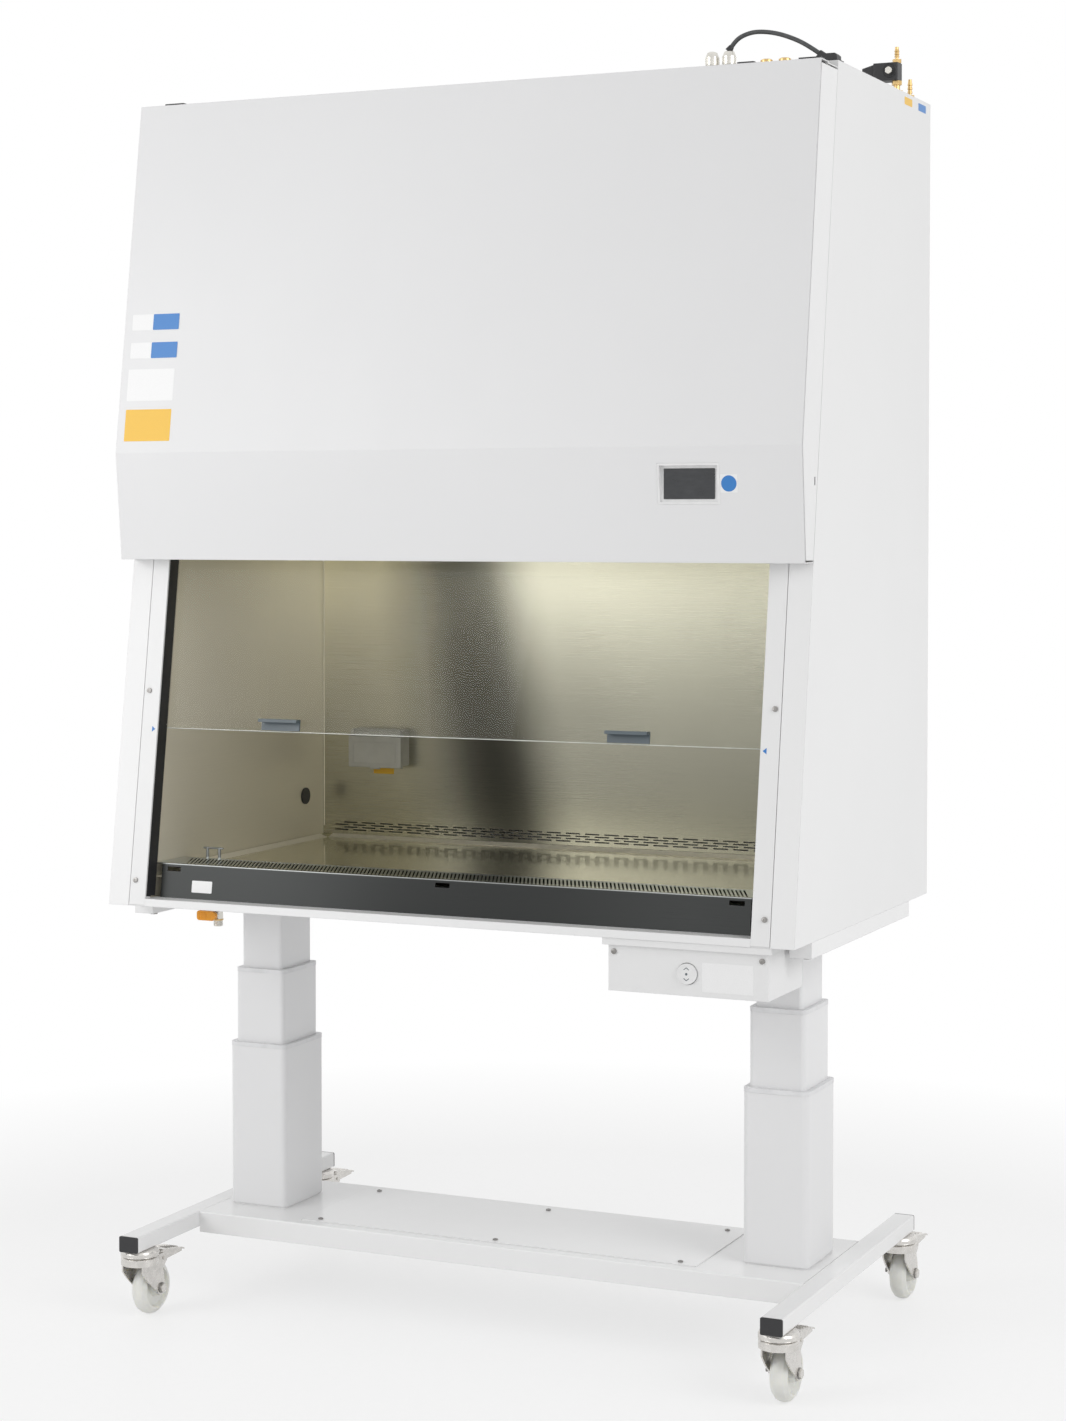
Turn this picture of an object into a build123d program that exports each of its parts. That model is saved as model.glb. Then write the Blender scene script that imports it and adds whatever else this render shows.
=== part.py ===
from build123d import *
from math import cos, radians, sin, tan
import os

# Class II biosafety cabinet on a motorised telescopic stand with four casters.
# Millimetres. X runs to the right, Y to the back, Z up. The origin is on the floor,
# under the middle of the whole machine's plan.

# ---- main sizes ----
chamber_w = 1200.0           # nominal work width, inside the chamber
side_cavity = 75.0           # chamber wall to the outside of the shell
shell_d = 778.0              # at the bottom
shell_h = 1509.0
shell_bottom = 786.0
lean = 8.2                   # the front leans back, degrees
sheet = 2.0
liner = 1.5                  # stainless sheet of the chamber
wall_x = chamber_w / 2
half_w = wall_x + side_cavity
shell_top = shell_bottom + shell_h

# ---- casters ----
wheel_d = 100.0
wheel_w = 32.0
caster_height = 132.0        # floor to the underside of the leg
caster_trail = 38.0          # swivel axis to wheel axle
crown_r = 36.0
fork_sheet = 3.0
fork_gap = 20.5              # half the clear width between the fork's cheeks
axle_r = 5.0
kingpin_r = 8.0
stud_r = 6.0
stud_length = 18.0
pedal_reach = 122.0          # swivel axis to the tip of the brake pedal
pedal_w = 46.0
pedal_pivot = (46.0, 105.0)  # behind the swivel axis, above the floor

# ---- running clearances ----
shaft_gap = 0.08
slide_gap = 0.4
turn_gap = 0.3
seat_gap = 0.1

# ---- stand ----
leg_w = 40.0
leg_h = 30.0
leg_length = 768.0
leg_wall = 2.0
leg_x = half_w - 39.0        # middle of each leg
caster_inset = 40.0          # leg end to swivel axis
cap_flange = 3.0
platform_d = 320.0
platform_h = 40.0
platform_wall = 3.0
column_x = half_w - 141.0
cover_w = 2 * (column_x - 128.0)
cover_d = platform_d - 48.0
cover_t = 1.5
cover_screw_x = cover_w / 2 - 36.0
cover_screw_y = cover_d / 2 - 15.0
seat_h = 3.0                 # raised foot under each column

# ---- telescopic columns ----
column_y = -42.0
column_w = 127.0
column_d = 155.0
column_wall = 5.0
column_step = 18.0           # each stage is this much narrower and shallower
column_bow = 2.0             # how far the sides bulge
column_r = 12.0
outer_top = shell_bottom - 304.0
middle_top = shell_bottom - 159.0
middle_length = 300.0
inner_length = 294.0
collar_h = 8.0
plate_t = 6.0
plate_w = 150.0
drive_r = 34.0               # gear motor at the foot of each column
drive_h = 34.0
screw_r = 7.0
screw_top = outer_top + 23.0
tube_r = 14.0                # hollow screw of the middle stage
tube_top = middle_top - 17.0
nut_tube_r = 20.0            # nut tube of the top stage
nut_tube_bottom = outer_top - 12.0
bridge_t = 6.0

# ---- cabinet shell ----
flange_w = 43.0
rail_w = 40.0
rail_h = 28.0
rail_length = 570.0
rail_y = -50.0
rail_wall = 3.0
frame_bolt_inset = 35.0      # rail end to its bolt
cross_offset = 57.0          # cross members in front of and behind the columns' middle
rear_gap = 10.0              # back of the shell behind the legs' rear ends

# ---- work chamber ----
back_plenum = 82.0           # between the chamber's back wall and the back panel
pillar_in = wall_x - 3.0
pillar_depth = 18.0
pillar_screw_x = half_w - 55.0
pillar_screw_z = (shell_bottom + 47.0, shell_bottom + 398.0)
sill_top = shell_bottom + 14.0
sill_depth = 38.0
guide_w = 14.0
guide_depth = 16.0
apron_offset = 32.0
tray_z = shell_bottom + 60.0
grille_z = tray_z + 17.0
grille_d = 100.0
grille_w = 2 * (wall_x - guide_w - 2.0)
finger_slot_x = grille_w / 2 - 26.0
finger_slot = (28.0, 8.0)
post_x = (grille_w / 2 - 40.0, grille_w / 2 - 66.0)
post_h = 22.0
slot_pitch = 7.6
slot_w = 3.6
slot_slant = 24.0
tray_rim = 6.0
tray_rim_w = 20.0
tray_depth = 14.0
rear_slot_z = tray_z + 15.0
rear_slot_rows = 4
rear_slot_pitch_z = 5.2
rear_slot_pitch_x = 42.0
rear_slot_length = 31.0
rear_slot_h = 2.6
chamber_top = tray_z + 598.0

# ---- hood ----
hood_projection = 91.0
hood_lip_projection = 44.0
hood_bottom = chamber_top - 14.0
hood_crease = hood_bottom + 199.0
hood_top = shell_top - 10.0
hood_return = 12.0
cheek_gap = 3.0              # open joint between the front cover and each cheek
seam_gap = 1.0               # joint between each cheek and its side panel
hinge_setback = 46.0
hinge_r = 4.0
hinge_pin_r = 1.8
hinge_x = half_w - 39.0
hinge_length = 42.0

# ---- sash ----
glass_t = 6.0
glass_h = 604.0
glass_half_w = wall_x - 8.0
sash_offset = 24.0
sash_bottom = tray_z + 267.0
guide_top = hood_top - 205.0
handle_x = 346.0
handle_w = 80.0
handle_h = 21.0
handle_reach = 16.0
sash_down = 250.0
sash_up = 300.0
weight_size = (40.0, 50.0, 380.0)
weight_x = (wall_x + liner + half_w - sheet) / 2
weight_z = tray_z + 654.0
pulley_r = 30.0
pulley_w = 14.0
pulley_z = hood_top - 50.0
pulley_shaft_r = 8.0

# ---- air handling ----
filter_h = 85.0
filter_front = -275.0
plenum_h = 100.0
fan_r = 140.0
fan_w = 180.0
fan_blades = 18
fan_y = 45.0
fan_z = chamber_top + 436.0
scroll_r = 165.0
scroll_growth = 50.0
motor_r = 62.0
motor_length = 110.0
shaft_r = 10.0
exhaust_size = (600.0, 360.0, 92.0)
exhaust_y = 60.0

# ---- fittings ----
display_w = 114.0
display_h = 70.0
display_x = half_w - 205.0
display_z = hood_bottom + 135.0
screen_w = 93.0
screen_h = 52.0
socket_w = 118.0
socket_h = 76.0
socket_x = 142.0 - wall_x
socket_z = tray_z + 191.0
port_inset = 78.0            # chamber's back wall to the cable port
port_z = tray_z + 90.0
port_r = 17.0
box_w = 292.0
box_d = 176.0
box_h = 80.0
box_x = half_w - 195.0
lid_overhang = 8.0
lid_h = 12.0
button_r = 18.0
button_z = shell_bottom - 54.0
button_gap = 0.8
drain_x = 190.0 - half_w
roof_row = 46.0              # the front row of roof fittings, behind the roof's front edge
gland_x = (half_w - 249.0, half_w - 217.0)
gland_r = 12.0
cable_r = 4.0
roof_plug_x = half_w - 183.0
roof_plug = (32.0, 22.0, 15.0)
union_x = (half_w - 147.0, half_w - 113.0)
union_r = 15.0
valve_x = half_w - 27.0
feed_h = 28.0                # gas pipe from the roof to the valve's coil block
coil_size = (48.0, 30.0, 33.0)
barb_length = (23.0, 30.0)   # on the valve and on the roof
barb_r = 5.0
barb_tip = 4.0               # plain end above the teeth

# ---- worked out from the above ----
leg_bottom = caster_height
leg_top = leg_bottom + leg_h
overall_d = leg_length - caster_inset + pedal_reach
front_end = -overall_d / 2
rear_end = front_end + leg_length
swivel_y = {"front": front_end + caster_inset, "rear": rear_end - caster_inset}
swivel_x = {"left": -leg_x, "right": leg_x}
shell_rear = rear_end + rear_gap
shell_front = shell_rear - shell_d
back_wall_y = shell_rear - sheet - back_plenum
flange_x = half_w - flange_w
lean_tan = tan(radians(lean))
platform_y = column_y
ledge_z = hood_top - sheet - turn_gap
beam_bottom = shell_bottom - rail_h
tray_top = tray_z + tray_rim
port_y = back_wall_y - port_inset
drain_y = shell_front + 78.0
valve_y = shell_rear - 130.0
barb_y = shell_rear - 45.0


def front_y(z, offset=0.0):
    """Y of the leaning front plane at a height, moved back by an offset."""
    return shell_front + (z - shell_bottom) * lean_tan + offset


hinge_y = front_y(hood_top, -hood_projection + hinge_setback)
hinge_z = hood_top + hinge_r


def block(x, y, z):
    """A box between two limits on each axis."""
    size = [b - a for a, b in (x, y, z)]
    middle = [(a + b) / 2 for a, b in (x, y, z)]
    return Pos(*middle) * Box(*size)


def prism_x(points, x0, x1):
    """A polygon of (y, z) points, extruded from x0 to x1."""
    outline = Polyline([(0, y, z) for y, z in points], close=True)
    face = make_face(outline)
    return Pos(x0, 0, 0) * extrude(face, amount=x1 - x0, dir=(1, 0, 0))


def slanted(x, offset, z):
    """A bar that follows the leaning front between two offsets and two heights."""
    (near, far), (low, high) = offset, z
    points = [(front_y(low, near), low), (front_y(low, far), low),
              (front_y(high, far), high), (front_y(high, near), high)]
    return prism_x(points, *x)


def folded(points, thickness, x0, x1):
    """A sheet folded along a (y, z) line, with its thickness on the line's left."""
    line = [Vector(0, y, z) for y, z in points]
    runs = [(b - a).normalized() for a, b in zip(line, line[1:])]
    sides = [Vector(0, -run.Z, run.Y) for run in runs]
    inner = [line[0] + sides[0] * thickness]
    for corner, before, after in zip(line[1:], sides, sides[1:]):
        mitre = (before + after).normalized()
        inner.append(corner + mitre * (thickness / mitre.dot(after)))
    inner.append(line[-1] + sides[-1] * thickness)
    return prism_x([(p.Y, p.Z) for p in line + inner[::-1]], x0, x1)


def rod(start, end, radius):
    """A round bar between two points."""
    start, end = Vector(start), Vector(end)
    run = end - start
    return Plane(origin=start, z_dir=run) * Pos(0, 0, run.length / 2) * Cylinder(radius, run.length)


def hexagon(start, end, across_flats):
    """A hexagonal bar between two points."""
    start, end = Vector(start), Vector(end)
    run = end - start
    outline = RegularPolygon(across_flats / 2, 6, major_radius=False)
    return Plane(origin=start, z_dir=run) * extrude(outline, amount=run.length)


def turned(points):
    """A profile of (radius, z) points turned about the Z axis."""
    face = make_face(Polyline([(r, 0, z) for r, z in points], close=True))
    return revolve(face, axis=Axis.Z)


def both_sides(shape):
    """A shape and its mirror image across the middle of the cabinet."""
    return [shape, mirror(shape, about=Plane.YZ)]


def save(name, *solids):
    """Write one node, as one solid or as a group of separate ones."""
    flat = []
    for item in solids:
        flat.extend(item if isinstance(item, (list, tuple)) else [item])
    pieces = [solid for item in flat for solid in item.solids()]
    shape = pieces[0] if len(pieces) == 1 else Compound(children=pieces)
    export_step(shape, f"parts/{name}.step")


# ---------------------------------------------------------------- stand

def leg(side):
    """A rectangular tube with a threaded bush over each caster."""
    start, end = front_end + cap_flange, rear_end - cap_flange
    profile = RectangleRounded(leg_w, leg_h, 3) - RectangleRounded(
        leg_w - 2 * leg_wall, leg_h - 2 * leg_wall, 1)
    plane = Plane(origin=(side, start, leg_bottom + leg_h / 2), x_dir=(1, 0, 0), z_dir=(0, 1, 0))
    tube = plane * extrude(profile, amount=end - start)
    for y in swivel_y.values():
        bush = rod((side, y, leg_bottom + leg_wall), (side, y, leg_top - leg_wall), 11)
        hole = rod((side, y, leg_bottom - 1), (side, y, leg_bottom + stud_length + 2),
                   stud_r + seat_gap)
        tube = tube + bush - hole
    return tube


def leg_cap(side, end, inward):
    """A plastic plug: a flange over the tube's end and a body inside it."""
    z = leg_bottom + leg_h / 2
    plane = Plane(origin=(side, end, z), x_dir=(1, 0, 0), z_dir=(0, inward, 0))
    flange = extrude(RectangleRounded(leg_w, leg_h, 3), amount=cap_flange)
    body_w = leg_w - 2 * leg_wall - 2 * seat_gap
    body_h = leg_h - 2 * leg_wall - 2 * seat_gap
    body = extrude(RectangleRounded(body_w, body_h, 1), amount=cap_flange + 12)
    return plane * (flange + body)


def column_profile(shrink=0.0, grow=0.0):
    """The extrusion's outline: flat front and back, bulging sides, round corners."""
    w = (column_w - shrink) / 2 + grow
    d = (column_d - shrink) / 2 + grow
    edge = w - column_bow
    front = Line((-edge, -d), (edge, -d))
    right = ThreePointArc((edge, -d), (w, 0), (edge, d))
    back = Line((edge, d), (-edge, d))
    left = ThreePointArc((-edge, d), (-w, 0), (-edge, -d))
    face = make_face([front, right, back, left])
    return fillet(face.vertices(), column_r - shrink / 6 + grow)


def column_stage(x, shrink, bottom, top):
    """One telescopic stage: a hollow extrusion with a constant wall."""
    ring = column_profile(shrink) - column_profile(shrink, -column_wall)
    return Pos(x, column_y, bottom) * extrude(ring, amount=top - bottom)


def ring_bar(outer, inner, length):
    """A round tube standing on the origin."""
    return extrude(Circle(outer) - Circle(inner), amount=length)


def outer_drive(x):
    """The gear motor on the column's foot and the screw that stands in it."""
    foot = leg_top + seat_h
    motor = Cylinder(drive_r, drive_h, align=(Align.CENTER, Align.CENTER, Align.MIN))
    motor = fillet(motor.edges().group_by(Axis.Z)[-1], 4)
    screw = rod((0, 0, drive_h), (0, 0, screw_top - foot), screw_r)
    return Pos(x, column_y, foot) * (motor + screw)


def middle_column(x):
    """The middle stage: its profile, the bridge across its foot and its hollow screw."""
    low = middle_top - middle_length
    stage = column_stage(x, column_step, low, middle_top - collar_h)
    bridge = extrude(column_profile(column_step, -column_wall), amount=bridge_t)
    bridge += ring_bar(tube_r, 1, tube_top - low)
    bore = rod((0, 0, -1), (0, 0, tube_top), screw_r + turn_gap)
    return stage + Pos(x, column_y, low) * (bridge - bore)


def column_collar(x, shrink, top):
    """The plastic ring on a stage, which the next stage slides through."""
    ring = column_profile(shrink, 0.6) - column_profile(shrink + column_step, slide_gap)
    return Pos(x, column_y, top - collar_h) * extrude(ring, amount=collar_h)


def platform():
    """The pressed channel between the legs, with a raised seat for each column."""
    end = leg_x - leg_w / 2
    front, back = platform_y - platform_d / 2, platform_y + platform_d / 2
    bottom = leg_top - platform_h
    body = block((-end, end), (front, back), (bottom, leg_top))
    body = fillet(body.edges().filter_by(Axis.X).group_by(Axis.Z)[-1], 3)
    body -= block((-end + platform_wall, end - platform_wall),
                  (front + platform_wall, back - platform_wall),
                  (bottom - 1, leg_top - platform_wall))
    body -= block((-cover_screw_x + 25, cover_screw_x - 25),
                  (platform_y - cover_screw_y + 20, platform_y + cover_screw_y - 20),
                  (bottom, leg_top + 1))
    for x, y in cover_screws():
        body -= rod((x, y, bottom), (x, y, leg_top + 1), 2.5 + seat_gap)
    for x in (-column_x, column_x):
        seat = column_profile(0, -2.5)
        body += Pos(x, column_y, leg_top) * extrude(seat, amount=seat_h)
    return body


def cover_screws():
    """Where the access cover is screwed down."""
    return [(x, platform_y + y) for x in (-cover_screw_x, 0, cover_screw_x)
            for y in (-cover_screw_y, cover_screw_y)]


def platform_cover():
    plate = block((-cover_w / 2, cover_w / 2),
                  (platform_y - cover_d / 2, platform_y + cover_d / 2),
                  (leg_top, leg_top + cover_t))
    for x, y in cover_screws():
        plate -= rod((x, y, leg_top - 1), (x, y, leg_top + cover_t + 1), 2.5 + seat_gap)
    return plate


def dome_screw(x, y, top, depth, radius=2.5, head=4.5, head_h=1.8):
    """A low dome-headed screw pointing down from a surface."""
    return (rod((x, y, top), (x, y, top + head_h), head)
            + rod((x, y, top - depth), (x, y, top), radius))


# ---------------------------------------------------------------- casters
# A caster is drawn about its swivel axis and then moved under its leg.

crown_top = caster_height - 14.0
crown_bottom = crown_top - 15.0
wheel_r = wheel_d / 2


def caster_head():
    """The fixed bearing cup with its stud and the kingpin that carries the fork."""
    cup = turned([(0, crown_top + turn_gap), (crown_r - 3, crown_top + turn_gap),
                  (crown_r, crown_top + 3), (crown_r, caster_height - 5),
                  (crown_r - 2, caster_height - 1.5), (crown_r - 6, caster_height),
                  (0, caster_height)])
    stud = rod((0, 0, caster_height), (0, 0, caster_height + stud_length), stud_r)
    pin = rod((0, 0, crown_bottom + 3), (0, 0, crown_top + 1), kingpin_r)
    rivet = rod((0, 0, crown_bottom + 3), (0, 0, crown_bottom + 6), kingpin_r + 5)
    return cup + stud + pin + rivet


def fork():
    """A pressed fork: a round crown, two swept cheeks and the axle through them."""
    plate_low = crown_bottom + 6 + turn_gap
    crown = turned([(kingpin_r + turn_gap, plate_low), (crown_r - fork_sheet, plate_low),
                    (crown_r - fork_sheet, crown_bottom), (crown_r - 0.5, crown_bottom),
                    (crown_r - 0.5, crown_top - 2), (crown_r - 2.5, crown_top),
                    (kingpin_r + turn_gap, crown_top)])
    axle_y, axle_z = caster_trail, wheel_r
    top = crown_top - 3
    pivot_y, pivot_z = pedal_pivot
    front_top, front_low = (-26, top), (-26, crown_bottom - 12)
    nose = (axle_y - 13, axle_z - 4)
    heel = (axle_y + 13, axle_z)
    rear = (axle_y + 6, crown_bottom - 16)
    horn = (pivot_y + 12, pivot_z - 6)
    edge = [Line(front_top, front_low),
            ThreePointArc(front_low, (-4, axle_z + 18), nose),
            ThreePointArc(nose, (axle_y, axle_z - 13), heel),
            Line(heel, rear), Line(rear, horn),
            ThreePointArc(horn, (pivot_y + 8, pivot_z + 7), (pivot_y - 4, top)),
            Line((pivot_y - 4, top), front_top)]
    cheek = make_face(edge)
    side = Plane(origin=(fork_gap, 0, 0), x_dir=(0, 1, 0), z_dir=(1, 0, 0))
    plate = side * extrude(cheek, amount=fork_sheet)
    plate -= rod((0, axle_y, axle_z), (60, axle_y, axle_z), axle_r + shaft_gap)
    plate -= rod((0, pivot_y, pivot_z), (60, pivot_y, pivot_z), 3 + turn_gap)
    return crown + both_sides(plate)


def axle():
    """The wheel's bolt, with its hexagon head and its nut."""
    y, z = caster_trail, wheel_r
    outer = fork_gap + fork_sheet
    bolt = rod((-outer, y, z), (outer, y, z), axle_r)
    head = hexagon((outer, y, z), (outer + 5.5, y, z), 15)
    nut = hexagon((-outer - 6.5, y, z), (-outer, y, z), 15)
    return bolt + head + nut


def wheel():
    """A nylon wheel: crowned tread, dished sides and a boss each side."""
    half, boss = wheel_w / 2, fork_gap - turn_gap
    tread = ThreePointArc((half - 6, -wheel_r + 2.2), (0, -wheel_r), (-half + 6, -wheel_r + 2.2))
    rim = wheel_r - 13
    hub = 15
    bore = axle_r + shaft_gap
    edge = Polyline((-half + 6, -wheel_r + 2.2), (-half, -wheel_r + 9), (-half, -rim),
                    (-half + 8, -rim + 3), (-half + 8, -hub - 2), (-boss, -hub + 1),
                    (-boss, -bore), (boss, -bore), (boss, -hub + 1), (half - 8, -hub - 2),
                    (half - 8, -rim + 3), (half, -rim), (half, -wheel_r + 9),
                    (half - 6, -wheel_r + 2.2))
    section = make_face([tread, edge])
    body = revolve(section, axis=Axis.X)
    return Pos(0, caster_trail, wheel_r) * body


def pedal():
    """The brake pedal: a tread plate with two webs and its pivot pin."""
    pivot_y, pivot_z = pedal_pivot
    tip = pedal_reach
    plate = folded([(tip, 106.0), (tip - 10, 110.0), (pivot_y - 2, 121.5)], 2.5,
                   -pedal_w / 2, pedal_w / 2)
    web = prism_x([(pivot_y - 6, pivot_z - 5), (pivot_y + 6, pivot_z - 6), (tip - 6, 101),
                   (tip - 4, 105), (tip - 10, 108.5), (pivot_y - 2, 120), (pivot_y - 7, 112)],
                  fork_gap - 3.4, fork_gap - 0.6)
    pin = rod((-fork_gap - fork_sheet - 2, pivot_y, pivot_z),
              (fork_gap + fork_sheet + 2, pivot_y, pivot_z), 3)
    return plate + both_sides(web) + pin


# ---------------------------------------------------------------- shell

def support_frame():
    """Two side rails and two cross members, welded from rectangular tube."""
    low, high = beam_bottom, shell_bottom
    start, end = rail_y - rail_length / 2, rail_y + rail_length / 2
    inner_x = half_w - rail_w
    wall = rail_wall
    depth = (low + wall, high - wall)
    body = block((inner_x, half_w), (start, end), (low, high))
    body = [body, mirror(body, about=Plane.YZ)]
    hollow = both_sides(block((inner_x + wall, half_w - wall), (start + wall, end + 1), depth))
    for side in (-1, 1):
        y = column_y + side * cross_offset
        reach = rail_w / 2
        body.append(block((-inner_x, inner_x), (y - reach, y + reach), (low, high)))
        hollow.append(block((-inner_x - wall - 1, inner_x + wall + 1),
                            (y - reach + wall, y + reach - wall), depth))
    frame = body[0].fuse(*body[1:]).cut(*hollow)
    for x, y in frame_bolts() + plate_bolts():
        frame -= rod((x, y, low - 1), (x, y, high + 1), 4 + seat_gap)
    return frame


def frame_bolts():
    """Bolts that hold the cabinet down on the side rails."""
    x = half_w - rail_w / 2
    reach = rail_length / 2 - frame_bolt_inset
    return [(sx * x, y) for sx in (-1, 1) for y in (rail_y - reach, rail_y + reach)]


def plate_bolts():
    """Bolts that hold each column's top plate to the cross members."""
    reach = plate_w / 2 - 12
    return [(cx + sx * reach, column_y + sy * cross_offset)
            for cx in (-column_x, column_x) for sx in (-1, 1) for sy in (-1, 1)]


def hex_bolt_up(x, y, bottom, top):
    """A hexagon bolt pointing up, its head under the surface at a height."""
    return (hexagon((x, y, bottom - 5.5), (x, y, bottom), 13)
            + rod((x, y, bottom), (x, y, top), 4))


def inner_column(x):
    """The top stage with its welded mounting plate."""
    plate_low = beam_bottom - plate_t
    stage = column_stage(x, 2 * column_step, plate_low - inner_length, plate_low)
    stage += Pos(x, column_y, nut_tube_bottom) * ring_bar(nut_tube_r, tube_r + turn_gap,
                                                          plate_low - nut_tube_bottom)
    plate = block((x - plate_w / 2, x + plate_w / 2),
                  (column_y - plate_w / 2, column_y + plate_w / 2), (plate_low, beam_bottom))
    for bx, by in plate_bolts():
        if abs(bx - x) < plate_w:
            plate -= rod((bx, by, plate_low - 1), (bx, by, beam_bottom + 1), 4 + seat_gap)
    return stage + plate


def side_panel():
    """The right side: one sheet with its four edges folded inwards."""
    outline = [(shell_front, shell_bottom), (shell_rear, shell_bottom),
               (shell_rear, shell_top), (front_y(shell_top), shell_top)]
    step = sheet / cos(radians(lean))
    low, high = shell_bottom + sheet, shell_top - sheet
    inner = [(front_y(low, step), low), (shell_rear - sheet, low),
             (shell_rear - sheet, high), (front_y(high, step), high)]
    return (prism_x(outline, flange_x, half_w)
            - prism_x(inner, flange_x - 1, half_w - sheet))


def back_panel():
    """The rear sheet, with two rows of pressed stiffening beads."""
    inset = flange_x - 0.5
    panel = block((-inset, inset), (shell_rear - sheet, shell_rear), (shell_bottom, shell_top))
    for z in (shell_bottom + 380, shell_bottom + 760, shell_bottom + 1140):
        bead = block((-inset + 90, inset - 90), (shell_rear - sheet - 4, shell_rear - sheet),
                     (z - 12, z + 12))
        panel += fillet(bead.edges().filter_by(Axis.X).group_by(Axis.Y)[0], 3.5)
    return panel


def roof_panel():
    """The roof sheet, stepped down at the front to the ledge that carries the hood."""
    inset = flange_x - 0.5
    front = front_y(shell_top)
    step = front_y(ledge_z)
    body = block((-inset, inset), (front, shell_rear - sheet), (shell_top - sheet, shell_top))
    body += block((-inset, inset), (front, front + sheet), (ledge_z - sheet, shell_top))
    body += block((-inset, inset), (step - 1, front + sheet), (ledge_z - sheet, ledge_z))
    body += block((-half_w + 0.5, half_w - 0.5), (hinge_y - hinge_r - 6, step - 0.5),
                  (ledge_z - sheet, ledge_z))
    ex, ey, _ = exhaust_size
    slot_l = ex / 4 - 14
    for column in range(4):
        x = (column - 1.5) * ex / 4
        for row in range(14):
            y = exhaust_y + (row - 6.5) * (ey - 40) / 14
            body -= block((x - slot_l / 2, x + slot_l / 2), (y - 5, y + 5),
                          (shell_top - 3 * sheet, shell_top + 1))
    return body


def floor_pan():
    """The bottom sheet with the white front sill and the drain hole."""
    low = shell_bottom
    pan = block((-flange_x + 0.5, flange_x - 0.5), (shell_front + 1, shell_rear - sheet),
                (low, low + sheet))
    sill = slanted((-pillar_in, pillar_in), (0, sill_depth), (low, sill_top))
    sill -= slanted((-pillar_in - 1, pillar_in + 1), (sheet, sill_depth + 1),
                    (low + sheet, sill_top - sheet))
    body = pan + sill
    return body - rod((drain_x, drain_y, low - 1), (drain_x, drain_y, low + 3), 7)


def hood_cheek():
    """The fixed right cheek beside the front cover, with its lock slot."""
    gap = cheek_gap
    back = -seam_gap

    def outline(inset):
        top = ledge_z - inset
        return [(front_y(hood_bottom, -hood_lip_projection + inset), hood_bottom + inset),
                (front_y(hood_bottom, back), hood_bottom + inset),
                (front_y(top, back), top),
                (front_y(top, -hood_projection + inset), top),
                (front_y(hood_crease, -hood_projection + inset), hood_crease)]

    plate = prism_x(outline(sheet + gap), half_w - sheet, half_w)
    fold = (prism_x(outline(sheet + gap), half_w - 16, half_w)
            - prism_x(outline(2 * sheet + gap), half_w - 17, half_w - sheet))
    fold -= block((0, half_w - sheet), (front_y(hood_bottom, -12), shell_rear),
                  (hood_bottom - 5, shell_top))
    lock_z = hood_crease - 60
    lock_y = front_y(lock_z, -14)
    slot = block((half_w - 5, half_w + 1), (lock_y - 3, lock_y + 3), (lock_z - 7, lock_z + 7))
    return plate + fold - slot


def pillar_cover():
    """The folded cover of the right front pillar."""
    x0, x1 = pillar_in, flange_x - 1
    span = (shell_bottom + sheet, hood_bottom + 30)
    inward = Vector(0, cos(radians(lean)), -sin(radians(lean)))
    cover = slanted((x0, x1), (0, pillar_depth), span)
    cover -= slanted((x0 + sheet, x1 - sheet), (sheet, pillar_depth + 1), span)
    for z in pillar_screw_z:
        seat = Vector(pillar_screw_x, front_y(z), z)
        cover -= rod(seat - inward * 2, seat + inward * 6, 2.5 + seat_gap)
    return cover


def front_screw(x, y, z, inward, depth=6.0):
    """A pan-headed screw seated on a front face, pointing inward."""
    seat = Vector(x, y, z)
    return rod(seat - inward * 2.2, seat, 4.6) + rod(seat, seat + inward * depth, 2.5)


# ---------------------------------------------------------------- chamber

def chamber_side_wall():
    """The right chamber wall, carried up as the frame of the air handling section."""
    low, high = shell_bottom + sheet, pulley_z + 30
    front_off = pillar_depth
    rear = shell_rear - sheet
    wall = prism_x([(front_y(low, front_off), low), (rear, low), (rear, high),
                    (front_y(high, front_off), high)], wall_x, wall_x + liner)
    ledge_low = tray_top - tray_depth - 3
    wall += block((wall_x - 12, wall_x), (front_y(grille_z, apron_offset + 6), back_wall_y - 2),
                  (ledge_low, ledge_low + 3))
    wall -= rod((0, pulley_y, pulley_z), (half_w, pulley_y, pulley_z), pulley_shaft_r + shaft_gap)
    for side in (-1, 1):
        y = weight_y + side * (weight_size[1] / 2 + slide_gap)
        guide = block((wall_x + liner, weight_x), (min(y, y + side * 3), max(y, y + side * 3)),
                      (weight_z - sash_up - 20, weight_z + weight_size[2] + sash_down + 20))
        wall += guide
    return wall


pulley_y = front_y(pulley_z, sash_offset + glass_t / 2) + pulley_r
weight_y = pulley_y + pulley_r


def chamber_left_wall():
    """The left wall: the right one mirrored, with a hole for the cable port."""
    wall = mirror(chamber_side_wall(), about=Plane.YZ)
    return wall - rod((-wall_x - 3, port_y, port_z), (-wall_x + 3, port_y, port_z),
                      port_r - 4 + seat_gap)


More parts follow.
